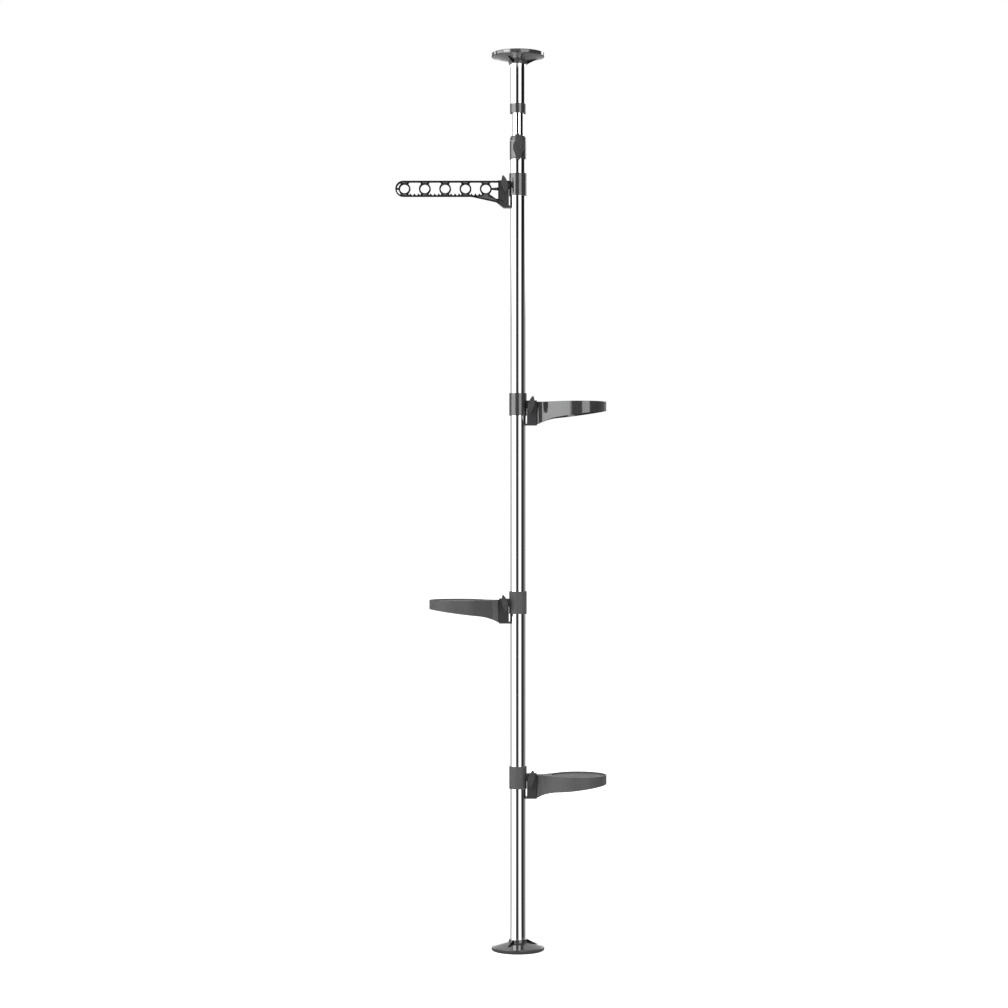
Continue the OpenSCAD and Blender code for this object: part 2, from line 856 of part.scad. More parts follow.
module knob_shape() {
    color(knob_plastic) translate([bolt_x, -knob_y, 0]) difference() {
        union() {
            front_cylinder(knob_hub_d / 2, knob_hub_l + cut);
            translate([0, -knob_hub_l, 0]) rotate([0, wing_lean, 0]) wing(wing_l, wing_w, wing_t);
        }
        translate([0, cut, 0]) front_cylinder(insert_r + run_gap, insert_l + pass_gap + cut);
    }
}

module hook_liner() { at_arm(hook_z, true) liner_shape(); }
module hook_collar() { at_arm(hook_z, true) collar_shape(); }
module hook_arm() { at_arm(hook_z, true) hook_shape(); }
module hook_bolt() { at_arm(hook_z, true) bolt_shape(); }
module hook_washer() { at_arm(hook_z, true) washer_shape(); }
module hook_insert() { at_arm(hook_z, true) insert_shape(); }
module hook_knob() { at_arm(hook_z, true) knob_shape(); }

module upper_liner() { at_arm(upper_z, false) liner_shape(); }
module upper_collar() { at_arm(upper_z, false) collar_shape(); }
module upper_tray() { at_arm(upper_z, false) tray_shape(); }
module upper_bolt() { at_arm(upper_z, false) bolt_shape(); }
module upper_washer() { at_arm(upper_z, false) washer_shape(); }
module upper_insert() { at_arm(upper_z, false) insert_shape(); }
module upper_knob() { at_arm(upper_z, false) knob_shape(); }

module middle_liner() { at_arm(middle_z, true) liner_shape(); }
module middle_collar() { at_arm(middle_z, true) collar_shape(); }
module middle_tray() { at_arm(middle_z, true) tray_shape(); }
module middle_bolt() { at_arm(middle_z, true) bolt_shape(); }
module middle_washer() { at_arm(middle_z, true) washer_shape(); }
module middle_insert() { at_arm(middle_z, true) insert_shape(); }
module middle_knob() { at_arm(middle_z, true) knob_shape(); }

module lower_liner() { at_arm(lower_z, false) liner_shape(); }
module lower_collar() { at_arm(lower_z, false) collar_shape(); }
module lower_tray() { at_arm(lower_z, false) tray_shape(); }
module lower_bolt() { at_arm(lower_z, false) bolt_shape(); }
module lower_washer() { at_arm(lower_z, false) washer_shape(); }
module lower_insert() { at_arm(lower_z, false) insert_shape(); }
module lower_knob() { at_arm(lower_z, false) knob_shape(); }

floor_pad();
floor_disc();
floor_screw();
floor_plug();
main_tube();
lock_body();
lock_insert();
lock_shoe();
lock_screw();
lock_knob();
inner_tube();
inner_guide();
jack_nut();
jack_tube();
end_sleeve();
jack_plug();
jack_screw();
ceiling_disc();
ceiling_pad();
ceiling_screw();
hook_liner();
hook_collar();
hook_arm();
hook_bolt();
hook_washer();
hook_insert();
hook_knob();
upper_liner();
upper_collar();
upper_tray();
upper_bolt();
upper_washer();
upper_insert();
upper_knob();
middle_liner();
middle_collar();
middle_tray();
middle_bolt();
middle_washer();
middle_insert();
middle_knob();
lower_liner();
lower_collar();
lower_tray();
lower_bolt();
lower_washer();
lower_insert();
lower_knob();
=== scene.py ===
"""Tension pole plant stand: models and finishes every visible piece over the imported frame.

Sizes are written in millimetres and meshes are scaled to metres when a piece is finished.
The pole stands on the origin along +Z and is seen from -Y.
"""
import logging
import math
from dataclasses import dataclass
from enum import Enum
from typing import Iterable, Sequence

import bmesh
import bpy
from mathutils import Matrix, Vector
from mathutils.geometry import intersect_sphere_sphere_2d


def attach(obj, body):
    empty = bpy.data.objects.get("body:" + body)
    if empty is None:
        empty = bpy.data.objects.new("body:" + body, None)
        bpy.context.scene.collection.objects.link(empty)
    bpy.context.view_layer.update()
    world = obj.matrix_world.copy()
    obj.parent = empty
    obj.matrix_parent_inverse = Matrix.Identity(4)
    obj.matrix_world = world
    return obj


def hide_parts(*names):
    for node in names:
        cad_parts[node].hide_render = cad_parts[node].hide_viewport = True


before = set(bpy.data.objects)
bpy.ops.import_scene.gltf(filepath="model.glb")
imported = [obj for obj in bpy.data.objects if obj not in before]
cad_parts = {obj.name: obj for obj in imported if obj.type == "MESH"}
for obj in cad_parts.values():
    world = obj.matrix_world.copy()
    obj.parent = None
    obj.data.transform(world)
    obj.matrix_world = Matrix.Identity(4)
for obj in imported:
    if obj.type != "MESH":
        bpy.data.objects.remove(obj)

LOG = logging.getLogger("plant_stand")

# Metres in a millimetre.
MM = 0.001
# Points nearer than this, in millimetres, become one.
MERGE = 0.002
# Edges between faces that turn by more than this angle stay sharp.
CREASE = 32.0
# Side of the floor and its depth under the stand, in metres.
FLOOR_SIZE = 40.0
FLOOR_DEPTH = 0.0002
# Strength of the brightest panel that polished surfaces mirror.
BRIGHTEST = 11.0
# Height of the stand from floor to ceiling.
TOTAL = 1820.0
# Distance from the middle of the pole to an arm's bolt.
BOLT_X = 27.0
# Radius of the holes that the bolts and the lock's screw pass through.
BOLT_HOLE = 3.1
# Depth of a bolt's head in the cheek.
HEAD_DEPTH = 2.5
# Distance from the middle of the pole to the outer end of an arm's block.
BLOCK_END = 38.4
# Half the width of an arm's block.
CHEEK = 11.0
# Angle in degrees that one facet of a rounded corner turns by.
FACET = 12.0
# How late a wing thins towards its points; 1 thins evenly.
WING_CURVE = 1.6
# Shares of the wide and of the fine pattern in a surface's colour.
CLOUD_SHARE = 0.7
SPECK_SHARE = 0.3
# Strengths between which a noise pattern is stretched.
NOISE_RANGE = (0.3, 0.7)


class Slot(Enum):
    """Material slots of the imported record."""

    TUBE = "tube"
    PLASTIC = "plastic"
    KNOB = "knob_plastic"
    RUBBER = "rubber"
    NYLON = "nylon"
    STEEL = "zinc_steel"
    BRASS = "brass"


class Side(Enum):
    """The side of the pole that an arm points to, as the sign of X."""

    LEFT = -1
    RIGHT = 1


class NodeTree:
    """A short way to build one material's or world's node tree."""

    def __init__(self, owner: bpy.types.ID) -> None:
        """Empties the owner's tree.

        Args:
            owner: The material or world that the nodes belong to.
        """
        owner.use_nodes = True
        self.tree = owner.node_tree
        self.tree.nodes.clear()

    def add(self, kind: str, **settings: object) -> bpy.types.Node:
        """Adds a node and sets its properties and unlinked sockets.

        Args:
            kind: Blender's name of the node's class.
            settings: Properties by name, or sockets by name with spaces as underscores.

        Returns:
            The new node.
        """
        node = self.tree.nodes.new(kind)
        for name, value in settings.items():
            socket = node.inputs.get(name.replace("_", " "))
            if socket is not None:
                socket.default_value = value
            else:
                setattr(node, name, value)
        return node

    def link(self, source: bpy.types.NodeSocket, target: bpy.types.NodeSocket) -> None:
        """Joins two sockets."""
        self.tree.links.new(source, target)

    def feed(self, node: bpy.types.Node, first: int, *values: object) -> None:
        """Fills neighbouring sockets of a node.

        Args:
            node: The node.
            first: Number of its first socket to fill.
            values: For each socket a socket to link it to, or a value.
        """
        for number, value in enumerate(values, first):
            if isinstance(value, bpy.types.NodeSocket):
                self.link(value, node.inputs[number])
            else:
                node.inputs[number].default_value = value

    def calc(self, operation: str, *values: object, clamp: bool = False) -> bpy.types.NodeSocket:
        """Adds a calculation.

        Args:
            operation: Blender's name of the operation.
            values: Sockets or numbers that it works on.
            clamp: True keeps the result between 0 and 1.

        Returns:
            The socket with the result.
        """
        node = self.add("ShaderNodeMath", operation=operation, use_clamp=clamp)
        self.feed(node, 0, *values)
        return node.outputs[0]

    def noise(
        self, scale: float, stretch: Sequence[float], detail: float = 3.0
    ) -> bpy.types.NodeSocket:
        """Adds a noise pattern in the piece's own space.

        Args:
            scale: Pattern repeats to the metre.
            stretch: Factor on the pattern along each axis.
            detail: Octaves of the noise.

        Returns:
            The socket with the pattern's strength.
        """
        place_in = self.add("ShaderNodeTexCoord")
        turn = self.add("ShaderNodeMapping", Scale=tuple(stretch))
        pattern = self.add("ShaderNodeTexNoise", Scale=scale, Detail=detail)
        self.link(place_in.outputs["Object"], turn.inputs["Vector"])
        self.link(turn.outputs["Vector"], pattern.inputs["Vector"])
        return pattern.outputs["Fac"]

    def spread(
        self,
        source: bpy.types.NodeSocket,
        low: float = 0.0,
        high: float = 1.0,
        limits: tuple[float, float] = NOISE_RANGE,
    ) -> bpy.types.NodeSocket:
        """Maps a range of a measure onto another range.

        Args:
            source: The measure.
            low: Result at and below the lower limit.
            high: Result at and above the upper limit.
            limits: The range of the measure.

        Returns:
            The socket with the mapped value.
        """
        ranged = self.add("ShaderNodeMapRange")
        self.feed(ranged, 0, source, *limits, low, high)
        return ranged.outputs["Result"]

    def blend(
        self, share: bpy.types.NodeSocket, first: object, second: object
    ) -> bpy.types.NodeSocket:
        """Blends two colours.

        Args:
            share: Share of the second colour.
            first: Socket with a colour, or red, green, blue and alpha.
            second: The same for the other colour.

        Returns:
            The socket with the colour.
        """
        mix = self.add("ShaderNodeMix", data_type="RGBA")
        self.feed(mix, 0, share)
        self.feed(mix, 6, first, second)
        return mix.outputs[2]

    def fade(
        self,
        source: bpy.types.NodeSocket,
        limits: tuple[float, float],
        first: bpy.types.NodeSocket,
        second: bpy.types.NodeSocket,
    ) -> bpy.types.NodeSocket:
        """Goes from one colour to another between two values of a measure."""
        return self.blend(self.spread(source, limits=limits), first, second)

    def choose(
        self, share: bpy.types.NodeSocket, first: bpy.types.Node, second: bpy.types.Node
    ) -> bpy.types.Node:
        """Mixes two shaders.

        Args:
            share: Share of the second shader.
            first: Node of a shader.
            second: Node of the other shader.

        Returns:
            The node of the mixed shader.
        """
        mix = self.add("ShaderNodeMixShader")
        self.feed(mix, 0, share, first.outputs[0], second.outputs[0])
        return mix

    def ramp(
        self, turn: bpy.types.NodeSocket, panels: Sequence[tuple[float, float]]
    ) -> bpy.types.NodeSocket:
        """Writes the brightness round the horizon into a colour ramp.

        Args:
            turn: Angle round the horizon, 0 to 1, with the viewer's side in the middle.
            panels: Angles in degrees and brightness, in rising order of angle.

        Returns:
            The socket with the colour.
        """
        made = self.add("ShaderNodeValToRGB")
        stops = made.color_ramp.elements
        while len(stops) > 1:
            stops.remove(stops[-1])
        for count, (degrees, bright) in enumerate(panels):
            at = degrees / 360 + 0.5
            stop = stops.new(at) if count else stops[0]
            stop.position = at
            stop.color = (*[bright / BRIGHTEST] * 3, 1.0)
        self.link(turn, made.inputs["Fac"])
        return made.outputs["Color"]


@dataclass(frozen=True)
class Finish:
    """A surface: two close colours, a range of roughness and a grain."""

    name: str
    colour: tuple[float, float, float]
    second_colour: tuple[float, float, float]
    roughness: tuple[float, float]
    metallic: float
    grain_scale: float
    grain_depth: float
    grain_stretch: tuple[float, float, float] = (1.0, 1.0, 1.0)
    cloud_scale: float = 45.0
    cloud_stretch: tuple[float, float, float] = (1.0, 1.0, 1.0)
    specular: float = 0.5
    grain_strength: float = 0.35

    def material(self) -> bpy.types.Material:
        """Makes the material, or returns the one already made.

        Returns:
            The material of this finish.
        """
        known = bpy.data.materials.get(self.name)
        if known is not None:
            return known
        made = bpy.data.materials.new(self.name)
        nodes = NodeTree(made)
        out = nodes.add("ShaderNodeOutputMaterial")
        shader = nodes.add(
            "ShaderNodeBsdfPrincipled", Metallic=self.metallic, Specular_IOR_Level=self.specular
        )
        cloud = nodes.noise(self.cloud_scale, self.cloud_stretch)
        speck = nodes.noise(self.grain_scale * 0.5, self.grain_stretch, 2.0)
        speckle = nodes.spread(speck, 0.0, SPECK_SHARE)
        share = nodes.calc("MULTIPLY_ADD", cloud, CLOUD_SHARE, speckle, clamp=True)
        tone = nodes.blend(share, (*self.colour, 1.0), (*self.second_colour, 1.0))
        nodes.link(tone, shader.inputs["Base Color"])
        nodes.link(nodes.spread(cloud, *self.roughness), shader.inputs["Roughness"])
        grain = nodes.noise(self.grain_scale, self.grain_stretch)
        bump = nodes.add("ShaderNodeBump", Strength=self.grain_strength, Distance=self.grain_depth)
        nodes.link(grain, bump.inputs["Height"])
        nodes.link(bump.outputs["Normal"], shader.inputs["Normal"])
        nodes.link(shader.outputs["BSDF"], out.inputs["Surface"])
        return made


MOULDED = Finish(
    "moulded_grey_plastic", (0.048, 0.048, 0.05), (0.058, 0.058, 0.06), (0.06, 0.1), 0.0,
    2200.0, 0.000004, specular=1.0,
)
MOULDED_SATIN = Finish(
    "moulded_grey_plastic_satin", (0.096, 0.096, 0.098), (0.112, 0.112, 0.114), (0.5, 0.6), 0.0,
    2200.0, 0.00003, specular=0.3,
)
MOULDED_TEXTURED = Finish(
    "moulded_grey_plastic_textured", (0.06, 0.06, 0.062), (0.075, 0.075, 0.077), (0.26, 0.34), 0.0,
    1700.0, 0.00002, specular=0.5,
)
# Darker grey of the arms' blocks; on a tray's downward lower edge the same grey is painted shade.
BLOCK_GREY_AND_PAINTED_SHADE = Finish(
    "block_grey_and_painted_shade", (0.042, 0.042, 0.044), (0.05, 0.05, 0.052), (0.34, 0.44), 0.0,
    2000.0, 0.00002, specular=0.25,
)
# Black plastic of the hook bar, its teeth and trim; on the foot discs' webs the same black is
# painted shade.
BLACK_AND_PAINTED_SHADE = Finish(
    "black_plastic_and_painted_shade", (0.014, 0.014, 0.0145), (0.02, 0.02, 0.0205), (0.6, 0.7), 0.0,
    2000.0, 0.00002, specular=0.0,
)
MOULDED_FIELD = Finish(
    "moulded_grey_plastic_field", (0.09, 0.09, 0.092), (0.11, 0.11, 0.112), (0.5, 0.6), 0.0,
    2000.0, 0.00002, specular=0.3,
)
KNOB_PLASTIC = Finish(
    "moulded_dark_knob", (0.058, 0.058, 0.06), (0.072, 0.072, 0.074), (0.3, 0.4), 0.0,
    1800.0, 0.00003, specular=0.3,
)
POLISHED = Finish(
    "polished_chrome_tube", (0.9, 0.9, 0.91), (0.95, 0.95, 0.955), (0.012, 0.03), 1.0,
    900.0, 0.000001, grain_stretch=(1.0, 1.0, 0.002), cloud_scale=30.0,
    cloud_stretch=(1.0, 1.0, 0.25), grain_strength=0.05,
)
ZINC = Finish(
    "zinc_plated_steel", (0.52, 0.52, 0.5), (0.66, 0.66, 0.67), (0.24, 0.4), 1.0,
    1500.0, 0.00001, grain_stretch=(1.0, 0.1, 1.0), cloud_scale=260.0,
)
RUBBER_BLACK = Finish(
    "black_rubber", (0.018, 0.018, 0.018), (0.032, 0.032, 0.031), (0.7, 0.85), 0.0,
    1400.0, 0.00012, specular=0.35,
)
NYLON_WHITE = Finish(
    "natural_nylon", (0.5, 0.5, 0.47), (0.6, 0.6, 0.57), (0.4, 0.55), 0.0, 1600.0, 0.00003,
)
BRASS_TURNED = Finish(
    "turned_brass", (0.56, 0.4, 0.17), (0.66, 0.5, 0.24), (0.2, 0.34), 1.0,
    1700.0, 0.00001, grain_stretch=(1.0, 0.08, 1.0), cloud_scale=180.0,
)


def only(kind: type, parts: Iterable[object]) -> list:
    """Picks the parts of one kind, such as corners, out of a mixed list of mesh parts."""
    return [part for part in parts if isinstance(part, kind)]


class Pen:
    """Draws one outline in the XZ plane of a mesh, point by point and arc by arc."""

    def __init__(self, bm: bmesh.types.BMesh, x: float, z: float, r: float = 0.0) -> None:
        """Sets the pen down.

        Args:
            bm: The mesh to draw in.
            x: First point's X in millimetres.
            z: First point's Z in millimetres.
            r: Radius that rounds the first point.
        """
        self.bm = bm
        self.tip = bmesh.ops.create_vert(bm, co=(x, 0.0, z))["vert"][0]
        self.start = self.tip
        self.rounded: list[tuple[bmesh.types.BMVert, float]] = []
        self._round(r)

    def _round(self, r: float) -> "Pen":
        """Keeps the radius, unless it is 0, that rounds the point at the tip."""
        if r:
            self.rounded.append((self.tip, r))
        return self

    def to(self, x: float, z: float, r: float = 0.0) -> "Pen":
        """Draws a straight line.

        Args:
            x: End of the line.
            z: End of the line.
            r: Radius that rounds that end.

        Returns:
            The pen.
        """
        self.tip = bmesh.ops.extrude_vert_indiv(self.bm, verts=[self.tip])["verts"][0]
        self.tip.co = (x, 0.0, z)
        return self._round(r)

    def through(self, *points: Sequence[float]) -> "Pen":
        """Draws straight lines from point to point.

        Args:
            points: X and Z of each point and, where it is rounded, the radius.

        Returns:
            The pen.
        """
        for point in points:
            self.to(*point)
        return self

    def arc(self, x: float, z: float, degrees: float, steps: int, r: float = 0.0) -> "Pen":
        """Draws an arc from the pen's tip.

        Args:
            x: Centre of the arc.
            z: Centre of the arc.
            degrees: Angle of the arc, positive from +X towards +Z.
            steps: Straight pieces of the arc.
            r: Radius that rounds its end.

        Returns:
            The pen.
        """
        made = bmesh.ops.spin(
            self.bm, geom=[self.tip], cent=(x, 0.0, z), axis=(0.0, -1.0, 0.0),
            angle=math.radians(degrees), steps=steps, use_duplicate=False,
        )
        self.tip = only(bmesh.types.BMVert, made["geom_last"])[0]
        return self._round(r)

    def end(self, closed: bool = True) -> None:
        """Closes the outline and rounds its corners.

        Args:
            closed: False leaves the outline open.
        """
        if closed:
            if (self.tip.co - self.start.co).length < MERGE:
                bmesh.ops.weld_verts(self.bm, targetmap={self.tip: self.start})
            else:
                self.bm.edges.new((self.tip, self.start))
        for corner, radius in self.rounded:
            near = [e.other_vert(corner).co - corner.co for e in corner.link_edges]
            half = near[0].angle(near[1]) / 2
            bmesh.ops.bevel(
                self.bm, geom=[corner], offset=radius / math.tan(half), offset_type="OFFSET",
                segments=max(3, round((math.pi - 2 * half) / math.radians(FACET))), profile=0.5,
                affect="VERTICES", material=-1,
            )


class Shape:
    """One or more closed shells drawn in millimetres."""

    def __init__(self) -> None:
        """Starts an empty shape."""
        self.bm = bmesh.new()

    def pen(self, x: float, z: float, r: float = 0.0) -> Pen:
        """Sets a pen down in this shape's XZ plane."""
        return Pen(self.bm, x, z, r)

    def draw(self, *points: Sequence[float], closed: bool = True) -> "Shape":
        """Draws lines through corners, each an X, a Z and, where it is rounded, a radius."""
        self.pen(*points[0]).through(*points[1:]).end(closed)
        return self

    def circle(self, x: float, z: float, radius: float, steps: int = 48) -> None:
        """Draws a full circle in the XZ plane.

        Args:
            x: Centre.
            z: Centre.
            radius: Radius.
            steps: Straight pieces.
        """
        bmesh.ops.create_circle(
            self.bm, radius=radius, segments=steps,
            matrix=Matrix.Translation((x, 0.0, z)) @ Matrix.Rotation(math.pi / 2, 4, "X"),
        )

    def turned(self, steps: int = 96, degrees: float = 360.0, start: float = 0.0) -> "Shape":
        """Turns the drawn outline round the Z axis.

        Args:
            steps: Facets round the axis.
            degrees: Angle of the turn.
            start: Angle at which it starts.

        Returns:
            The shape.
        """
        whole = degrees >= 360.0
        self.turn(start, "Z")
        if not whole:
            bmesh.ops.contextual_create(self.bm, geom=self.bm.edges[:])
        bmesh.ops.spin(
            self.bm, geom=self.bm.verts[:] + self.bm.edges[:] + self.bm.faces[:],
            cent=(0, 0, 0), axis=(0, 0, 1), angle=math.radians(degrees), steps=steps,
            use_merge=whole, use_duplicate=False,
        )
        return self.closed()

    def slab(self, front: float, back: float) -> "Shape":
        """Fills the drawn outlines and gives them thickness along Y.

        Args:
            front: Y of the front face, the lower value.
            back: Y of the back face.

        Returns:
            The shape.
        """
        edges = self.bm.edges[:]
        bmesh.ops.triangle_fill(self.bm, use_beauty=True, use_dissolve=False, edges=edges)
        inner = [e for e in self.bm.edges if len(e.link_faces) == 2]
        bmesh.ops.dissolve_limit(
            self.bm, angle_limit=math.radians(1), use_dissolve_boundaries=False, verts=[],
            edges=inner, delimit=set(),
        )
        self.move(y=back).pull(self.bm.faces[:], y=front - back)
        return self.closed()

    def pull(
        self, faces: Sequence[bmesh.types.BMFace], y: float = 0.0, z: float = 0.0
    ) -> list[bmesh.types.BMFace]:
        """Extrudes faces along Y or Z.

        Args:
            faces: The faces.
            y: Distance along Y.
            z: Distance along Z.

        Returns:
            The new faces at the far end.
        """
        made = bmesh.ops.extrude_face_region(self.bm, geom=faces)["geom"]
        bmesh.ops.translate(self.bm, verts=only(bmesh.types.BMVert, made), vec=(0, y, z))
        return only(bmesh.types.BMFace, made)

    def closed(self) -> "Shape":
        """Merges doubles and points all faces outwards."""
        bmesh.ops.remove_doubles(self.bm, verts=self.bm.verts[:], dist=MERGE)
        bmesh.ops.recalc_face_normals(self.bm, faces=self.bm.faces[:])
        return self

    def eased(self, width: float, angle: float = 35.0, segments: int = 2) -> "Shape":
        """Rounds every edge that is sharper than an angle.

        Args:
            width: Width of the rounding.
            angle: Edges between faces that turn by more are rounded.
            segments: Facets of the rounding.

        Returns:
            The shape.
        """
        limit = math.radians(angle)
        sharp = [
            e for e in self.bm.edges
            if len(e.link_faces) == 2 and e.calc_face_angle(0.0) > limit
        ]
        bmesh.ops.bevel(
            self.bm, geom=sharp, offset=width, offset_type="OFFSET", segments=segments,
            profile=0.5, affect="EDGES", material=-1, clamp_overlap=True,
        )
        return self

    def thinned(self, tip: float, middle: float, loss: float) -> "Shape":
        """Thins a wing towards its two points.

        Args:
            tip: Distance of the points from the wing's middle, along Z.
            middle: Y that both faces draw nearer to.
            loss: Share of the thickness that is lost at the points.

        Returns:
            The shape.
        """
        for vert in self.bm.verts:
            share = min(1.0, abs(vert.co.z) / tip)
            vert.co.y = middle + (vert.co.y - middle) * (1.0 - loss * share ** WING_CURVE)
        return self

    def coat(self, finish: int) -> "Shape":
        """Marks every face for one of the piece's finishes, by its number."""
        for face in self.bm.faces:
            face.material_index = finish
        return self

    def move(self, x: float = 0.0, y: float = 0.0, z: float = 0.0) -> "Shape":
        """Shifts the shape."""
        bmesh.ops.translate(self.bm, verts=self.bm.verts[:], vec=(x, y, z))
        return self

    def turn(self, degrees: float, axis: str) -> "Shape":
        """Turns the shape round an axis through the origin.

        Args:
            degrees: Angle.
            axis: X, Y or Z.

        Returns:
            The shape.
        """
        bmesh.ops.rotate(
            self.bm, verts=self.bm.verts[:], cent=(0, 0, 0),
            matrix=Matrix.Rotation(math.radians(degrees), 3, axis),
        )
        return self

    def faced(self) -> "Shape":
        """Lays a shape that was turned round Z so that its top faces the viewer."""
        return self.turn(90.0, "X")

    def flip(self, x: float = 1.0, y: float = 1.0, z: float = 1.0) -> "Shape":
        """Mirrors or stretches the shape and keeps its faces outwards.

        Args:
            x: Factor along X.
            y: Factor along Y.
            z: Factor along Z.

        Returns:
            The shape.
        """
        bmesh.ops.scale(self.bm, verts=self.bm.verts[:], vec=(x, y, z))
        if x * y * z < 0:
            bmesh.ops.reverse_faces(self.bm, faces=self.bm.faces[:])
        return self

    def add(self, *others: "Shape") -> "Shape":
        """Takes in the shells of other shapes.

        Args:
            others: Shapes, which are used up.

        Returns:
            The shape.
        """
        for other in others:
            spare = bpy.data.meshes.new("spare")
            other.bm.to_mesh(spare)
            self.bm.from_mesh(spare)
            bpy.data.meshes.remove(spare)
            other.bm.free()
        return self

    def carve(self, *cutters: "Shape") -> "Shape":
        """Cuts other shapes out of this one.

        Args:
            cutters: Shapes, which are used up.

        Returns:
            The shape.
        """
        body = self._spare_object()
        for cutter in cutters:
            tool = cutter._spare_object()
            step = body.modifiers.new("cut", "BOOLEAN")
            step.operation = "DIFFERENCE"
            step.solver = "EXACT"
            step.object = tool
            bpy.context.view_layer.update()
            ready = body.evaluated_get(bpy.context.evaluated_depsgraph_get())
            result = bpy.data.meshes.new_from_object(ready)
            body.modifiers.clear()
            spent = body.data
            body.data = result
            bpy.data.meshes.remove(spent)
            bpy.data.meshes.remove(tool.data)
        self.bm = bmesh.new()
        self.bm.from_mesh(body.data)
        bpy.data.meshes.remove(body.data)
        bmesh.ops.remove_doubles(self.bm, verts=self.bm.verts[:], dist=MERGE)
        bmesh.ops.dissolve_degenerate(self.bm, dist=MERGE, edges=self.bm.edges[:])
        return self

    def _spare_object(self) -> bpy.types.Object:
        """Moves the shape into a short-lived object.

        Returns:
            The object.
        """
        mesh = bpy.data.meshes.new("spare")
        self.bm.to_mesh(mesh)
        self.bm.free()
        spare = bpy.data.objects.new("spare", mesh)
        bpy.context.scene.collection.objects.link(spare)
        return spare

    def mesh(self, name: str) -> bpy.types.Mesh:
        """Finishes the shape as a mesh in metres.

        Args:
            name: Name of the mesh.

        Returns:
            The mesh.
        """
        bmesh.ops.scale(self.bm, verts=self.bm.verts[:], vec=(MM, MM, MM))
        made = bpy.data.meshes.new(name)
        self.bm.to_mesh(made)
        self.bm.free()
        made.polygons.foreach_set("use_smooth", [True] * len(made.polygons))
        made.set_sharp_from_angle(angle=math.radians(CREASE))
        return made


def turned_ring(
    outer: float, inner: float, low: float, high: float, ease: float = 0.3, steps: int = 128
) -> Shape:
    """Makes a tube from Z low to Z high, its outer edges eased by a radius, in so many facets."""
    outline = (inner, low), (outer, low, ease), (outer, high, ease), (inner, high)
    return Shape().draw(*outline).turned(steps)


def turned_disc(radius: float, low: float, high: float, ease: float, steps: int = 64) -> Shape:
    """Makes a disc from Z low to Z high, its edges eased by a radius, in so many facets."""
    outline = (0, low), (radius, low, ease), (radius, high, ease), (0, high)
    return Shape().draw(*outline, closed=False).turned(steps)


def block(low: Sequence[float], high: Sequence[float]) -> Shape:
    """Makes a box between two corners, used for cutting.

    Args:
        low: Lowest corner.
        high: Highest corner.

    Returns:
        The shape.
    """
    made = Shape()
    bmesh.ops.create_cube(made.bm, size=1.0)
    size = [b - a for a, b in zip(low, high)]
    centre = [(a + b) / 2 for a, b in zip(low, high)]
    return made.flip(*size).move(*centre)


def place(
    shape: Shape,
    name: str,
    body: str,
    finish: Finish,
    nodes: Iterable[str] = (),
    more: Sequence[Finish] = (),
) -> bpy.types.Object:
    """Makes a shape into a piece that moves with its body.

    Args:
        shape: The shape, which is used up.
        name: Name of the piece.
        body: Body that it moves with.
        finish: Its surface.
        nodes: Frame nodes that it stands for.
        more: Finishes of the faces that are marked 1 and up.

    Returns:
        The piece.
    """
    piece = bpy.data.objects.new(name, shape.mesh(name))
    bpy.context.scene.collection.objects.link(piece)
    for coat in (finish, *more):
        piece.data.materials.append(coat.material())
    even = piece.modifiers.new("even_normals", "WEIGHTED_NORMAL")
    even.keep_sharp = True
    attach(piece, body)
    for node in nodes:
        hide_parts(node)
    LOG.info("%s: %d faces, rides on %s", name, len(piece.data.polygons), body)
    return piece


def dress(node: str, finish: Finish) -> None:
    """Gives a frame node its surface.

    Args:
        node: Name of the node.
        finish: Its surface.
    """
    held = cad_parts[node]
    if not held.material_slots:
        held.data.materials.append(finish.material())
    for material_slot in held.material_slots:
        material_slot.material = finish.material()
    LOG.info("%s: frame node in %s", node, finish.name)


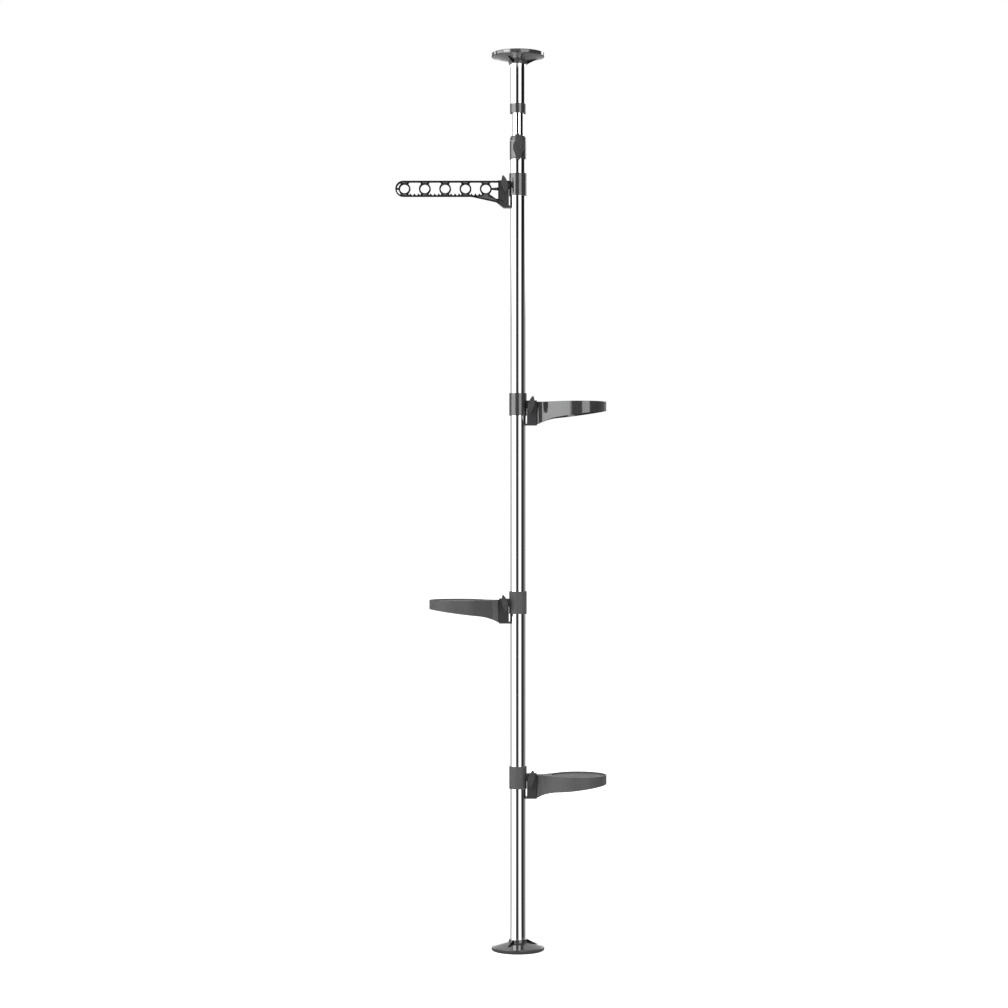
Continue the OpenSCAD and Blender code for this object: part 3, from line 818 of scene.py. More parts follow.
@dataclass
class Foot:
    """Moulded disc with its rubber pad, for the floor or, upside down, for the ceiling."""

    name: str
    body: str
    at_ceiling: bool
    cone: Finish = MOULDED
    radius: float = 54.0
    pad_radius: float = 52.5
    pad_height: float = 3.0
    seat: float = 8.0
    rim_top: float = 8.0
    cone_top: float = 16.3
    hub_radius: float = 18.9
    hub_top: float = 22.5
    socket: float = 16.1
    rim_low: float = 1.0
    rim_width: float = 2.6
    rounding: float = 0.35
    gusset: float = 3.0
    gusset_reach: float = 20.0
    tread: tuple[float, ...] = (47.0, 41.0, 35.0, 29.0, 23.0)
    tread_deep: float = 0.7

    def __post_init__(self) -> None:
        """Works out where the cone starts and how steep it is."""
        self.lip = self.radius - self.rim_width
        self.slope = (self.cone_top - self.rim_top) / (self.lip - self.hub_radius)

    def disc(self) -> Shape:
        """Turns the disc, with its stepped rim, cone and hub.

        Returns:
            The shape.
        """
        recess = self.pad_radius + 0.1
        made = Shape().draw(
            (BOLT_HOLE, self.pad_height),
            (recess, self.pad_height),
            (recess, self.rim_low),
            (self.radius, self.rim_low, self.rounding),
            (self.radius, self.rim_top - 0.5, 0.8),
            (self.lip + 0.3, self.rim_top - 0.4, self.rounding),
            (self.lip - 0.1, self.rim_top - 0.6, self.rounding),
            (self.lip - 0.7, self.rim_top + 0.5 * self.slope, self.rounding),
            (self.hub_radius, self.cone_top, 1.6),
            (self.hub_radius - 0.25, self.hub_top, 0.7),
            (self.socket, self.hub_top, 0.4),
            (self.socket, self.seat),
            (BOLT_HOLE, self.seat),
        ).turned(160)
        for face in made.bm.faces:
            middle = face.calc_center_median()
            if math.hypot(middle.x, middle.y) < self.lip - 0.5 and middle.z > self.rim_top:
                face.material_index = 1
        return made

    def gussets(self) -> Shape:
        """Makes the three webs between hub and cone.

        Returns:
            The shape.
        """
        foot = self.hub_radius + self.gusset_reach
        foot_z = self.cone_top - self.gusset_reach * self.slope
        root, sunk, head = self.socket + 0.9, foot_z - 1.2, self.hub_top - 0.8
        made = Shape()
        for angle in (0, 120, 240):
            web = Shape().draw(
                (root, sunk), (foot + 1.0, sunk), (foot, foot_z + 0.3, 1.0),
                (self.hub_radius + 0.6, head, 0.8), (root, head),
            )
            web.slab(-self.gusset / 2, self.gusset / 2).eased(0.5)
            made.add(web.turn(angle, "Z"))
        return made

    def pad(self) -> Shape:
        """Turns the rubber pad with the grooves of its tread.

        Returns:
            The shape.
        """
        made = Shape()
        pen = made.pen(0, self.pad_height).to(self.pad_radius, self.pad_height)
        pen.to(self.pad_radius, 0.0, self.rounding)
        for groove in self.tread:
            for x, z in ((1.0, 0.0), (0.7, self.tread_deep), (-0.7, self.tread_deep), (-1.0, 0.0)):
                pen.to(groove + x, z, 0.2)
        pen.to(0, 0.0).end(closed=False)
        return made.turned(128)

    def build(self) -> None:
        """Places the disc and its pad."""
        # The webs take the black finish as painted shade on their faces.
        disc = self.disc().add(self.gussets().coat(2))
        pad = self.pad()
        if self.at_ceiling:
            disc.flip(z=-1).move(z=TOTAL)
            pad.flip(z=-1).move(z=TOTAL)
        place(disc, f"{self.name}_disc_moulding", self.body, MOULDED,
              (f"{self.name}_disc",), (self.cone, BLACK_AND_PAINTED_SHADE))
        place(pad, f"{self.name}_pad_rubber", self.body, RUBBER_BLACK,
              (f"{self.name}_pad",))


# Outlines of the lock knob's leaf and of the crest on it: X, Z and radius of each corner.
LEAF = (
    (2.3, -28.3, 1.2), (6.2, -19.5, 9.0), (8.2, -11.0, 9.0), (12.6, -1.5, 9.0), (12.8, 7.5, 9.0),
    (8.0, 19.0, 12.0), (1.6, 27.2, 1.6), (-1.8, 28.2, 0.8), (-3.0, 24.6, 0.6), (-7.2, 27.4, 0.5),
    (-4.8, 21.0, 4.0), (-6.0, 14.0, 9.0), (-10.2, 4.0, 8.0), (-9.6, -5.0, 8.0), (-5.0, -16.5, 9.0),
)
CREST = (
    (2.2, -22.0, 1.5), (4.4, -11.0, 6.0), (8.4, 0.0, 6.0), (8.2, 8.0, 6.0), (1.2, 21.0, 1.5),
    (-2.6, 13.0, 6.0), (-6.2, 3.0, 6.0), (-5.4, -6.0, 6.0),
)


@dataclass
class Pole:
    """The three tubes, the height lock and the sleeve of the jack."""

    tube: float = 16.0
    tube_bore: float = 14.8
    inner: float = 12.0
    inner_bore: float = 10.8
    main_low: float = 8.0
    main_top: float = 1604.0
    inner_low: float = 460.0
    inner_top: float = 1760.0
    lock_top: float = 1652.0
    lock_radius: float = 17.0
    lock_axis: float = 1626.0
    lock_spigot: float = 30.0
    shoulder: float = 12.0
    boss: float = 8.0
    boss_front: float = 19.5
    knob_seat: float = 19.8
    sleeve_low: float = 1698.0
    sleeve_radius: float = 16.5
    sleeve_spigot: float = 14.0
    jack_low: float = 1717.0
    jack_top: float = 1812.0

    def __post_init__(self) -> None:
        """Works out the bore that slides on the inner tube and the spigot in a wide tube."""
        self.bore = self.inner + 0.05
        self.spigot = self.tube_bore - 0.1

    def tubes(self) -> None:
        """Places the three polished tubes."""
        wide, thin = (self.tube, self.tube_bore), (self.inner, self.inner_bore)
        for name, body, radii, low, high, steps in (
            ("main_tube", "pole", wide, self.main_low, self.main_top, 160),
            ("inner_tube", "mast", thin, self.inner_low, self.inner_top, 128),
            ("jack_tube", "jack", wide, self.jack_low, self.jack_top, 160),
        ):
            tube = turned_ring(*radii, low, high, 0.25, steps)
            place(tube, f"{name}_chrome", body, POLISHED, (name,))

    def lock(self) -> None:
        """Places the body of the height lock, with its shoulder, foot bead and boss."""
        top = self.bore + 0.8
        drop = self.lock_radius - top
        spring = self.lock_top - self.shoulder
        angles = [math.radians(7.5 * step) for step in range(1, 13)]
        body = Shape().draw(
            (self.bore, self.main_top - self.lock_spigot),
            (self.spigot, self.main_top - self.lock_spigot, 0.5),
            (self.spigot, self.main_top),
            (self.lock_radius, self.main_top, 0.35),
            (self.lock_radius, self.main_top + 2.6, 0.3),
            (self.lock_radius - 0.35, self.main_top + 2.9, 0.2),
            (self.lock_radius - 0.35, self.main_top + 3.4, 0.2),
            (self.lock_radius, self.main_top + 3.7, 0.2),
            (self.lock_radius, spring),
            *((top + drop * math.cos(a), spring + self.shoulder * math.sin(a)) for a in angles),
            (self.bore, self.lock_top),
        ).turned(144)
        back = self.boss_front - 6.0
        boss = Shape().draw(
            (BOLT_HOLE, back), (self.boss, back), (self.boss, self.boss_front, 0.5),
            (BOLT_HOLE, self.boss_front),
        )
        boss.turned(64).faced().move(z=self.lock_axis)
        place(body.add(boss), "lock_body_moulding", "pole", MOULDED, ("lock_body",))

    def lock_knob(self) -> None:
        """Places the leaf-shaped knob of the height lock, with the horn beside its point."""
        wing = Shape().draw(*LEAF).slab(-10.2, -4.2).eased(1.4, 50.0, 3)
        wing.add(Shape().draw(*CREST).slab(-11.3, -9.0).eased(1.0, 50.0, 3))
        wing.thinned(28.5, -7.6, 0.4)
        hub = turned_disc(self.boss, 0.0, 5.0, 0.3, 64).faced()
        cap = Shape().draw(
            (0, 9.0), (6.2, 9.0), (6.2, 11.1, 0.4), (4.6, 11.3, 0.3), (4.2, 10.8, 0.2), (0, 10.8),
            closed=False,
        )
        wing.add(hub, cap.turned(48).faced()).move(y=-self.knob_seat, z=self.lock_axis)
        place(wing, "lock_knob_wing", "lock_handle", KNOB_PLASTIC, ("lock_knob",))

    def sleeve(self) -> None:
        """Places the sleeve at the foot of the jack tube."""
        made = Shape().draw(
            (self.bore, self.sleeve_low, 0.4),
            (self.sleeve_radius, self.sleeve_low, 0.6),
            (self.sleeve_radius, self.jack_low, 0.45),
            (self.spigot, self.jack_low),
            (self.spigot, self.jack_low + self.sleeve_spigot, 0.5),
            (self.bore, self.jack_low + self.sleeve_spigot),
        ).turned(144)
        place(made, "end_sleeve_moulding", "jack", MOULDED, ("end_sleeve",))

    def build(self) -> None:
        """Places every piece of the pole and dresses what is hidden in it."""
        self.tubes()
        self.lock()
        self.lock_knob()
        self.sleeve()
        hidden = {
            NYLON_WHITE: ("floor_plug", "lock_shoe", "inner_guide", "jack_nut", "jack_plug"),
            ZINC: ("floor_screw", "ceiling_screw", "lock_screw", "jack_screw"),
            BRASS_TURNED: ("lock_insert",),
        }
        for finish, nodes in hidden.items():
            for node in nodes:
                dress(node, finish)


@dataclass
class WingKnob:
    """Knob with a round hub and a pointed wing across it, facing the viewer from y = 0."""

    length: float = 33.0
    width: float = 12.0
    thickness: float = 7.0
    blunt: float = 0.7
    hub: float = 6.5
    hub_length: float = 6.4
    lean: float = 12.0
    bore: float = 4.65
    bore_depth: float = 5.3

    def wing(self) -> Shape:
        """Makes the wing: a lens that thins towards its two blunt points.

        Returns:
            The shape.
        """
        made = Shape()
        point = self.length / 2 + self.width / 8
        radius = (point ** 2 + (self.width / 2) ** 2) / self.width
        shift = radius - self.width / 2
        tip = self.length / 2
        tip_x = math.sqrt(radius ** 2 - tip ** 2) - shift
        swing = 2 * math.degrees(math.atan2(tip, tip_x + shift))
        pen = made.pen(tip_x, -tip, self.blunt).arc(-shift, 0, swing, 20, self.blunt)
        pen.to(-tip_x, tip, self.blunt).arc(shift, 0, swing, 20, self.blunt).end()
        made.slab(-self.thickness, 0.0).eased(1.1, 50.0, 3)
        return made.thinned(tip, -self.thickness * 0.46, 0.42)

    def shape(self) -> Shape:
        """Joins hub, wing and cap.

        Returns:
            The shape.
        """
        top = self.hub_length + 1.2
        hub = Shape().draw(
            (0, self.bore_depth), (self.bore, self.bore_depth), (self.bore, 0.0),
            (self.hub, 0.0, 0.3), (self.hub, self.hub_length * 0.7), (self.hub - 0.6, top, 0.5),
            (0, top), closed=False,
        )
        reach = self.hub_length + self.thickness
        rim = self.width * 0.33
        cap = Shape().draw(
            (0, reach - 3.0), (rim, reach - 3.0), (rim, reach - 0.5, 0.4),
            (self.width * 0.22, reach - 0.15, 0.4), (self.width * 0.2, reach - 0.55, 0.2),
            (0, reach - 0.55), closed=False,
        )
        wing = self.wing().move(y=-self.hub_length).turn(self.lean, "Y")
        return hub.turned(64).faced().add(wing, cap.turned(48).faced())


@dataclass
class Fork:
    """The block at the root of an arm, split for the ears of the collar."""

    top: float
    drop: float
    heel_x: float = 32.4
    heel_end_z: float | None = None
    block_x: float = 18.4
    slot_half: float = 6.5
    slot_end: float = 36.0
    slot_floor: float = -9.0
    saddle: float = 16.3
    lip_x: float = 11.7
    lip: float = 3.5
    nose: float = 8.6
    head_room: float = 5.85
    joint_y: float = 10.9
    joint_half: float = 1.2
    groove: float = 0.7

    def shape(self, seam_z: float) -> Shape:
        """Makes the block with its round nose, saddle, slot and bolt hole.

        Args:
            seam_z: Height of the shallow line across both cheeks.

        Returns:
            The shape.
        """
        made = Shape()
        end_z = self.heel_end_z if self.heel_end_z is not None else -self.drop
        swing = math.degrees(math.asin(self.top / self.nose))
        pen = made.pen(self.lip_x, -self.drop, 0.6).to(self.heel_x, -self.drop)
        pen.to(BLOCK_END, end_z).to(BLOCK_END, self.top)
        pen.to(BOLT_X - self.nose * math.cos(math.radians(swing)), self.top)
        pen.arc(BOLT_X, 0.0, swing, 8)
        pen.to(self.block_x, self.lip - self.drop, 0.8)
        pen.to(self.lip_x, self.lip - self.drop, 0.5).end()
        made.slab(-CHEEK, CHEEK)
        slot = block((0, -self.slot_half, self.slot_floor), (self.slot_end, self.slot_half, 40))
        saddle = turned_disc(self.saddle, -90, 90, 0.0, 96)
        hole = turned_disc(BOLT_HOLE, -20, 20, 0.0, 32).faced().move(x=BOLT_X)
        pocket = turned_disc(self.head_room, -20, -CHEEK + HEAD_DEPTH, 0.0, 6)
        pocket.faced().move(x=BOLT_X)
        joint = []
        for side in (-1, 1):
            low, high = side * self.joint_y - self.joint_half, side * self.joint_y + self.joint_half
            joint.append(block((BLOCK_END - 0.9, low, -60), (BLOCK_END + 1, high, 7)))
        made.carve(slot, saddle, hole, pocket, *joint)
        for side in (-1, 1):
            made.carve(block(
                (self.block_x - 1, side * CHEEK - self.groove, seam_z - self.groove),
                (BLOCK_END + 1, side * CHEEK + self.groove, seam_z + self.groove),
            ))
        return made.eased(0.45, 38.0)


@dataclass
class Arm:
    """What every arm has: liner, split collar, bolt, washer and knob."""

    name: str
    height: float
    side: Side
    finish: Finish
    collar_low: float = -23.0
    collar_high: float = 23.0
    collar_bore: float = 16.6
    collar_radius: float = 18.0
    slit: float = 3.0
    ear_half: float = 6.2
    ear_radius: float = 8.0
    ear_root: float = 16.75
    bolt_radius: float = 3.0
    bolt_end: float = 17.1
    head: float = 5.75
    head_out: float = 1.5
    washer: float = 6.25

    def settle(
        self, shape: Shape, piece: str, body: str, finish: Finish, slot: Slot, *nodes: str,
        more: Sequence[Finish] = (),
    ) -> None:
        """Brings a shape drawn for the right side at z = 0 to this arm's place.

        Args:
            shape: The shape.
            piece: Name of the piece, without the arm's name.
            body: Name of its body, without the arm's name.
            finish: Its surface.
            slot: The record's slot; not used.
            nodes: Nodes that it stands for, without the arm's name.
            more: Finishes of the faces that are marked 1 and up.
        """
        if self.side is Side.LEFT:
            shape.flip(x=-1)
        place(
            shape.move(z=self.height), f"{self.name}_{piece}", f"{self.name}_{body}", finish,
            [f"{self.name}_{node}" for node in nodes], more,
        )

    def collar(self) -> Shape:
        """Makes the split collar with its two ears.

        Returns:
            The shape.
        """
        middle = (self.collar_bore + self.collar_radius) / 2
        half_slit = math.degrees(math.asin(self.slit / 2 / middle))
        made = Shape().draw(
            (self.collar_bore, self.collar_low), (self.collar_radius, self.collar_low, 0.6),
            (self.collar_radius, self.collar_high, 0.6), (self.collar_bore, self.collar_high),
        ).turned(140, 360.0 - 2 * half_slit, half_slit)
        for side in (-1, 1):
            ear = Shape()
            pen = ear.pen(self.ear_root, self.ear_radius).to(BOLT_X, self.ear_radius)
            pen.arc(BOLT_X, 0, -180, 24).to(self.ear_root, -self.ear_radius).end()
            ear.circle(BOLT_X, 0, BOLT_HOLE, 24)
            near, far = sorted((side * self.slit / 2, side * self.ear_half))
            made.add(ear.slab(near, far).eased(0.4, 40.0))
        return made

    def bolt(self) -> Shape:
        """Makes the hexagon bolt whose head lies in the back cheek.

        Returns:
            The shape.
        """
        inside = -CHEEK + HEAD_DEPTH
        shank = turned_disc(self.bolt_radius, inside, self.bolt_end, 0.3, 32)
        head = turned_disc(self.head, -CHEEK - self.head_out, inside, 0.0, 6).eased(0.25)
        return shank.add(head).faced().move(x=BOLT_X)

    def fittings(self) -> None:
        """Places collar, bolt, washer and knob, and dresses the hidden liner and insert."""
        self.settle(self.collar(), "collar_moulding", "swivel", self.finish, Slot.PLASTIC, "collar")
        self.settle(self.bolt(), "bolt_hexagon", "support", ZINC, Slot.STEEL, "bolt")
        washer = turned_ring(self.washer, BOLT_HOLE, CHEEK, CHEEK + 1.0, 0.2, 48)
        self.settle(washer.faced().move(x=BOLT_X), "washer_plain", "support",
                    ZINC, Slot.STEEL, "washer")
        knob = WingKnob().shape().move(x=BOLT_X, y=-CHEEK - 1.1)
        self.settle(knob, "knob_wing", "handle", KNOB_PLASTIC, Slot.KNOB, "knob")
        dress(f"{self.name}_liner", NYLON_WHITE)
        dress(f"{self.name}_insert", BRASS_TURNED)


@dataclass
class TrayArm(Arm):
    """An arm that ends in a round tray."""

    reach: float = 180.0
    plate_x: float = 123.0
    plate: float = 57.0
    neck: float = 11.5
    neck_length: float = 7.0
    fillet: float = 12.0
    root_round: float = 4.6
    top: float = 5.5
    floor: float = 3.0
    under: float = 0.0
    wall: float = 3.0
    block_top: float = 8.0
    block_drop: float = 42.5
    skirt: float = 13.0
    slope: float = 0.135
    flare: float = 8.8
    flare_run: float = 42.0
    flank_steps: int = 6
    grooves: tuple[float, ...] = (12.0, 20.0, 28.0, 36.0, 44.0)
    rib_low: float = -9.0
    rib_half: float = 1.0
    rib_pitch: float = 28.5

    def edge(self, x: float) -> float:
        """Gives the height of the skirt's lower edge at a distance from the pole's axis."""
        share = max(0.0, (BLOCK_END + self.flare_run - x) / self.flare_run)
        return -self.skirt - self.slope * (self.reach - x) - self.flare * share ** 2

    def plan(self) -> Shape:
        """Draws neck, fillets, flanks and plate as one outline and fills it at z = 0.

        Returns:
            The shape, one flat face that looks along Z.
        """
        made = Shape()
        bend_x = BLOCK_END + self.neck_length
        bend_z = self.neck + self.fillet
        away = self.plate_x - bend_x
        widest = math.asin((self.plate + self.fillet) / math.hypot(away, bend_z))
        turn = math.degrees(widest - math.atan2(bend_z, away))
        sine, cosine = math.sin(math.radians(turn)), math.cos(math.radians(turn))
        run = Vector((self.plate_x - self.plate * sine, self.plate * cosine))
        off = Vector((bend_x + self.fillet * sine, bend_z - self.fillet * cosine))
        steps = self.flank_steps
        flank = [off.lerp(run, step / steps) for step in range(steps + 1)]
        pen = made.pen(BLOCK_END, self.neck, self.root_round).to(bend_x, self.neck)
        pen.arc(bend_x, bend_z, turn, 8).through(*flank[1:])
        pen.arc(self.plate_x, 0.0, -(180.0 + 2 * turn), 110)
        pen.through(*((x, -z) for x, z in reversed(flank[:-1])))
        pen.arc(bend_x, -bend_z, turn, 8)
        pen.to(BLOCK_END, -self.neck, self.root_round).end()
        bmesh.ops.contextual_create(made.bm, geom=made.bm.edges[:])
        return made.turn(-90.0, "X")

    def deck(self) -> Shape:
        """Makes the tray: skirt with a sloping lower edge, dished top and hollow underside.

        Returns:
            The shape.
        """
        made = self.plan().move(z=self.top)
        bm = made.bm
        deep = 30.0
        bottom = made.pull(bm.faces[:], z=-deep)
        bmesh.ops.recalc_face_normals(bm, faces=bm.faces[:])
        bmesh.ops.inset_region(bm, faces=bottom, thickness=self.wall, use_even_offset=True)
        made.pull(bottom, z=self.under + deep - self.top)
        bmesh.ops.delete(bm, geom=[f for f in bottom if f.is_valid], context="FACES_ONLY")
        for vert in bm.verts:
            if vert.co.z < self.top - deep + 1.0:
                vert.co.z = self.edge(vert.co.x)
        made.closed()
        dish = Shape()
        pen = dish.pen(0, self.floor)
        for groove in self.grooves:
            for x, z in ((-0.7, 0.0), (0.0, -0.5), (0.7, 0.0)):
                pen.to(groove + x, self.floor + z)
        wall_x = self.plate - self.wall
        pen.to(wall_x - 0.6, self.floor).to(wall_x, self.floor + 0.6).to(wall_x, 20)
        pen.to(0, 20).end(closed=False)
        dish.turned(120).move(x=self.plate_x)
        made.carve(dish).eased(0.5, 48.0)
        # Downward faces along the skirt's lower edge take the block's darker grey as painted shade
        # under the tray.
        for face in made.bm.faces:
            middle = face.calc_center_median()
            if face.normal.z < -0.3 and abs(middle.z - self.edge(middle.x)) < 1.5:
                face.material_index = 1
        return made

    def ribs(self) -> Shape:
        """Makes the stiffening webs under the plate.

        Returns:
            The shape.
        """
        made = Shape()
        low, high, half = self.rib_low, self.under + 1.0, self.rib_half
        near, far = BLOCK_END - 0.5, self.reach - 1.5
        spine = Shape().draw((near, high), (far, high), (far, low, 0.5), (near, low))
        made.add(spine.slab(-half, half).eased(0.3))
        for offset in (-self.rib_pitch, 0.0, self.rib_pitch):
            end = math.sqrt((self.plate - 1.5) ** 2 - offset ** 2)
            web = Shape().draw((-end, low), (end, low), (end, high), (-end, high))
            web.slab(-half, half).eased(0.3).turn(90.0, "Z")
            made.add(web.move(x=self.plate_x + offset))
        return made

    def build(self) -> None:
        """Places the tray and its fittings."""
        fork = Fork(self.block_top, self.block_drop).shape(seam_z=-24.0)
        tray = self.deck().add(self.ribs(), fork.coat(1))
        self.settle(tray, "tray_moulding", "support", self.finish, Slot.PLASTIC, "tray",
                    more=(BLOCK_GREY_AND_PAINTED_SHADE,))
        self.fittings()


@dataclass
class HookArm(Arm):
    """The flat bar with five rings that things are hung from."""

    top: float = 8.0
    low: float = -24.0
    thickness: float = 9.0
    nose_x: float = 233.0
    rail_top: float = 3.0
    ring_z: float = -8.25
    ring_bore: float = 9.05
    ring_outer: float = 12.05
    first: float = 65.3
    pitch: float = 41.25
    count: int = 5
    flare: float = 3.0
    strut: float = 3.0
    tooth_pitch: float = 8.2
    tooth_half: float = 2.75
    tooth_height: float = 4.0
    knee: tuple[float, float] = (44.4, -35.0)
    brace: float = 6.5
    sunk: float = 0.8
    field: float = 10.7
    drop: float = 46.5
    heel_x: float = 29.4

    def __post_init__(self) -> None:
        """Works out where the flares between rings and rails stand."""
        self.room = self.top - self.rail_top - self.ring_z
        self.flare_z = self.room - self.flare
        self.flare_x = math.sqrt((self.ring_outer + self.flare) ** 2 - self.flare_z ** 2)
        self.meet = math.degrees(math.atan2(self.flare_z, self.flare_x))

    def heel_line(self, x: float) -> float:
        """Gives the height of the line from the heel of the block to the knee."""
        run = (x - self.heel_x) / (self.knee[0] - self.heel_x)
        return -self.drop + run * (self.knee[1] + self.drop)

    def window(self, left: float, right: float) -> Shape:
        """Draws the opening between two rings.

        Args:
            left: X of the ring nearer the pole.
            right: X of the next ring.

        Returns:
            The outline.
        """
        bar = Shape()
        high, low = self.ring_z + self.room, self.ring_z - self.room
        over, under = self.ring_z + self.flare_z, self.ring_z - self.flare_z
        near, far = left + self.flare_x, right - self.flare_x
        bend = 90.0 + self.meet
        pen = bar.pen(near, high).to(far, high)
        pen.arc(far, over, -bend, 6).arc(right, self.ring_z, 2 * self.meet, 10)
        pen.arc(far, under, -bend, 6).to(near, low)
        pen.arc(near, under, -bend, 6).arc(left, self.ring_z, 2 * self.meet, 10)
        pen.arc(near, over, -bend, 6).end()
        return bar

    def nose_windows(self) -> list[Shape]:
        """Draws the two crescents between the last ring and the round end.

        Returns:
            The outlines.
        """
        last = self.first + (self.count - 1) * self.pitch
        half = self.strut / 2
        near = math.degrees(math.asin(half / self.ring_outer))
        far = math.degrees(math.asin(half / self.room))
        flare_at = Vector((last + self.flare_x, self.flare_z))
        nose_at = Vector((self.nose_x, 0.0))
        tips = intersect_sphere_sphere_2d(nose_at, self.room, flare_at, self.flare)
        tip = min(tips, key=lambda point: point.x)
        open_angle = math.degrees(math.atan2(tip.y, tip.x - self.nose_x))
        flare_end = math.degrees(math.atan2(tip.y - flare_at.y, tip.x - flare_at.x)) % 360.0
        drawn = []
        for sign in (1, -1):
            crescent = Shape()
            pen = crescent.pen(tip.x, self.ring_z + sign * tip.y)
            pen.arc(self.nose_x, self.ring_z, -sign * (open_angle - far), 10)
            pen.to(last + self.ring_outer * math.cos(math.radians(near)), self.ring_z + sign * half)
            pen.arc(last, self.ring_z, sign * (self.meet - near), 5)
            pen.arc(flare_at.x, self.ring_z + sign * flare_at.y,
                    -sign * (180.0 + self.meet - flare_end), 5)
            pen.end()
            drawn.append(crescent)
        return drawn

    def root_windows(self) -> list[Shape]:
        """Draws the two openings between the block and the first ring.

        Returns:
            The outlines.
        """
        near = math.degrees(math.asin(self.strut / 2 / self.ring_outer))
        ring_x = self.first - self.ring_outer * math.cos(math.radians(near))
        flare_x = self.first - self.flare_x
        start = BLOCK_END - 1.0
        brace_z = self.knee[1] + self.brace
        bend = 90.0 + self.meet
        high = self.ring_z + self.room
        upper = Shape()
        pen = upper.pen(start, high).to(flare_x, high)
        pen.arc(flare_x, self.ring_z + self.flare_z, -bend, 6)
        pen.arc(self.first, self.ring_z, self.meet - near, 5)
        pen.to(start, self.ring_z + self.strut).end()
        lower = Shape()
        pen = lower.pen(start, self.ring_z - self.strut).to(ring_x, self.ring_z - self.strut / 2)
        pen.arc(self.first, self.ring_z, self.meet - near, 5)
        pen.arc(flare_x, self.ring_z - self.flare_z, -bend, 6)
        pen.to(self.knee[0], brace_z).to(start, brace_z).end()
        return [upper, lower]

    def teeth(self) -> Shape:
        """Makes the three saw teeth on the bottom rail in every opening.

        Returns:
            The shape.
        """
        made = Shape()
        foot = self.ring_z - self.room
        half = self.thickness / 2 - 0.1
        for step in range(self.count - 1):
            for shift in (-self.tooth_pitch, 0.0, self.tooth_pitch):
                x = self.first + (step + 0.5) * self.pitch + shift
                near, far = x - self.tooth_half, x + self.tooth_half
                tooth = Shape().draw(
                    (near, foot - 1.0), (far, foot - 1.0), (far, foot),
                    (x + 1.0, foot + self.tooth_height, 0.5), (near, foot),
                )
                made.add(tooth.slab(-half, half).eased(0.35, 48.0))
        return made

    def bar(self) -> Shape:
        """Makes the flat bar with rings, windows and the brace under its root.

        Returns:
            The shape.
        """
        made = Shape()
        inside = BLOCK_END - 1.6
        pen = made.pen(inside, self.top).to(self.nose_x, self.top)
        pen.arc(self.nose_x, (self.top + self.low) / 2, -180.0, 28)
        pen.to(self.first + self.pitch * 0.7, self.low)
        pen.to(self.knee[0], self.knee[1], 4.0)
        pen.to(inside, self.heel_line(inside) + 0.25).end()
        made.slab(-self.thickness / 2, self.thickness / 2)
        openings = self.nose_windows() + self.root_windows()
        for step in range(self.count):
            left = self.first + step * self.pitch
            bore = Shape()
            bore.circle(left, self.ring_z, self.ring_bore, 48)
            openings.append(bore)
            if step < self.count - 1:
                openings.append(self.window(left, left + self.pitch))
        made.carve(*(opening.slab(-self.thickness, self.thickness) for opening in openings))
        made.carve(*self.recesses()).eased(0.3, 48.0).coat(1)
        deep = self.thickness / 2 - self.sunk
        for face in made.bm.faces:
            if abs(face.normal.y) > 0.9 and abs(abs(face.calc_center_median().y) - deep) < 0.1:
                face.material_index = 3
        return made

    def recesses(self) -> list[Shape]:
        """Makes the cutters for the sunk fields over and under the rings and along the brace.

        Returns:
            The shapes.
        """
        low = self.ring_z - self.room
        knee_x, knee_z = self.knee
        fields = []
        for step in range(self.count):
            x = self.first + step * self.pitch
            for sign in (1, -1):
                near, far = self.ring_z + sign * self.field, self.ring_z + sign * (self.room + 0.4)
                if step or sign > 0:
                    fields.append([
                        (x - 3.4, near), (x + 3.4, near), (x + 6.6, far), (x - 6.6, far),
                    ])
        fields.append([
            (BLOCK_END + 0.6, knee_z - 2.0), (knee_x + 0.2, knee_z + 2.1),
            (self.first + 18.0, low - 3.3), (self.first + 18.0, low - 2.4),
            (self.first + 6.5, low - 1.6), (self.first + 3.4, self.ring_z - self.field),
            (self.first - 3.4, self.ring_z - self.field), (self.first - 6.8, low - 2.2),
            (knee_x + 0.5, knee_z + 4.5), (BLOCK_END + 0.6, knee_z + 0.8),
        ])
        fields.append([
            (BLOCK_END + 1.6, self.ring_z - 1.4), (self.first - 14.0, self.ring_z - 0.5),
            (self.first - 14.0, self.ring_z + 0.5), (BLOCK_END + 1.6, self.ring_z + 1.4),
        ])
        drawn = []
        for side in (-1, 1):
            face = side * self.thickness / 2
            for field in fields:
                drawn.append(Shape().draw(*field).slab(face - self.sunk, face + self.sunk))
        return drawn

    def trim(self) -> Shape:
        """Makes the black flange at the end of the block and the lines along its heel.

        Returns:
            The shape.
        """
        knee_z = self.knee[1]
        made = block((BLOCK_END - 0.2, -CHEEK + 1.0, knee_z + 3.0),
                     (BLOCK_END + 1.8, CHEEK - 1.0, self.top)).eased(0.3)
        start = BLOCK_END - 0.3
        lines = (
            (start, knee_z + 3.6, self.heel_x - 0.5, 9.5 - self.drop),
            (start, self.heel_line(BLOCK_END) + 1.2, self.heel_x + 0.6, 1.3 - self.drop),
        )
        for side in (-1, 1):
            face = side * CHEEK
            for x, z, end_x, end_z in lines:
                line = Shape().draw((x, z), (end_x, end_z), (end_x, end_z + 1.7), (x, z + 1.7))
                made.add(line.slab(face - 0.15, face + 0.15))
        return made

    def build(self) -> None:
        """Places the ring bar and its fittings."""
        fork = Fork(self.top, self.drop, self.heel_x, self.heel_line(BLOCK_END)).shape(seam_z=-20.0)
        # Faces marked 1 are black, 2 the block's and 3 the sunk fields'.
        arm = self.bar().add(self.teeth().coat(1), self.trim().coat(1), fork.coat(2))
        self.settle(arm, "arm_moulding", "support", self.finish, Slot.PLASTIC, "arm",
                    more=(BLACK_AND_PAINTED_SHADE, BLOCK_GREY_AND_PAINTED_SHADE, MOULDED_FIELD))
        self.fittings()


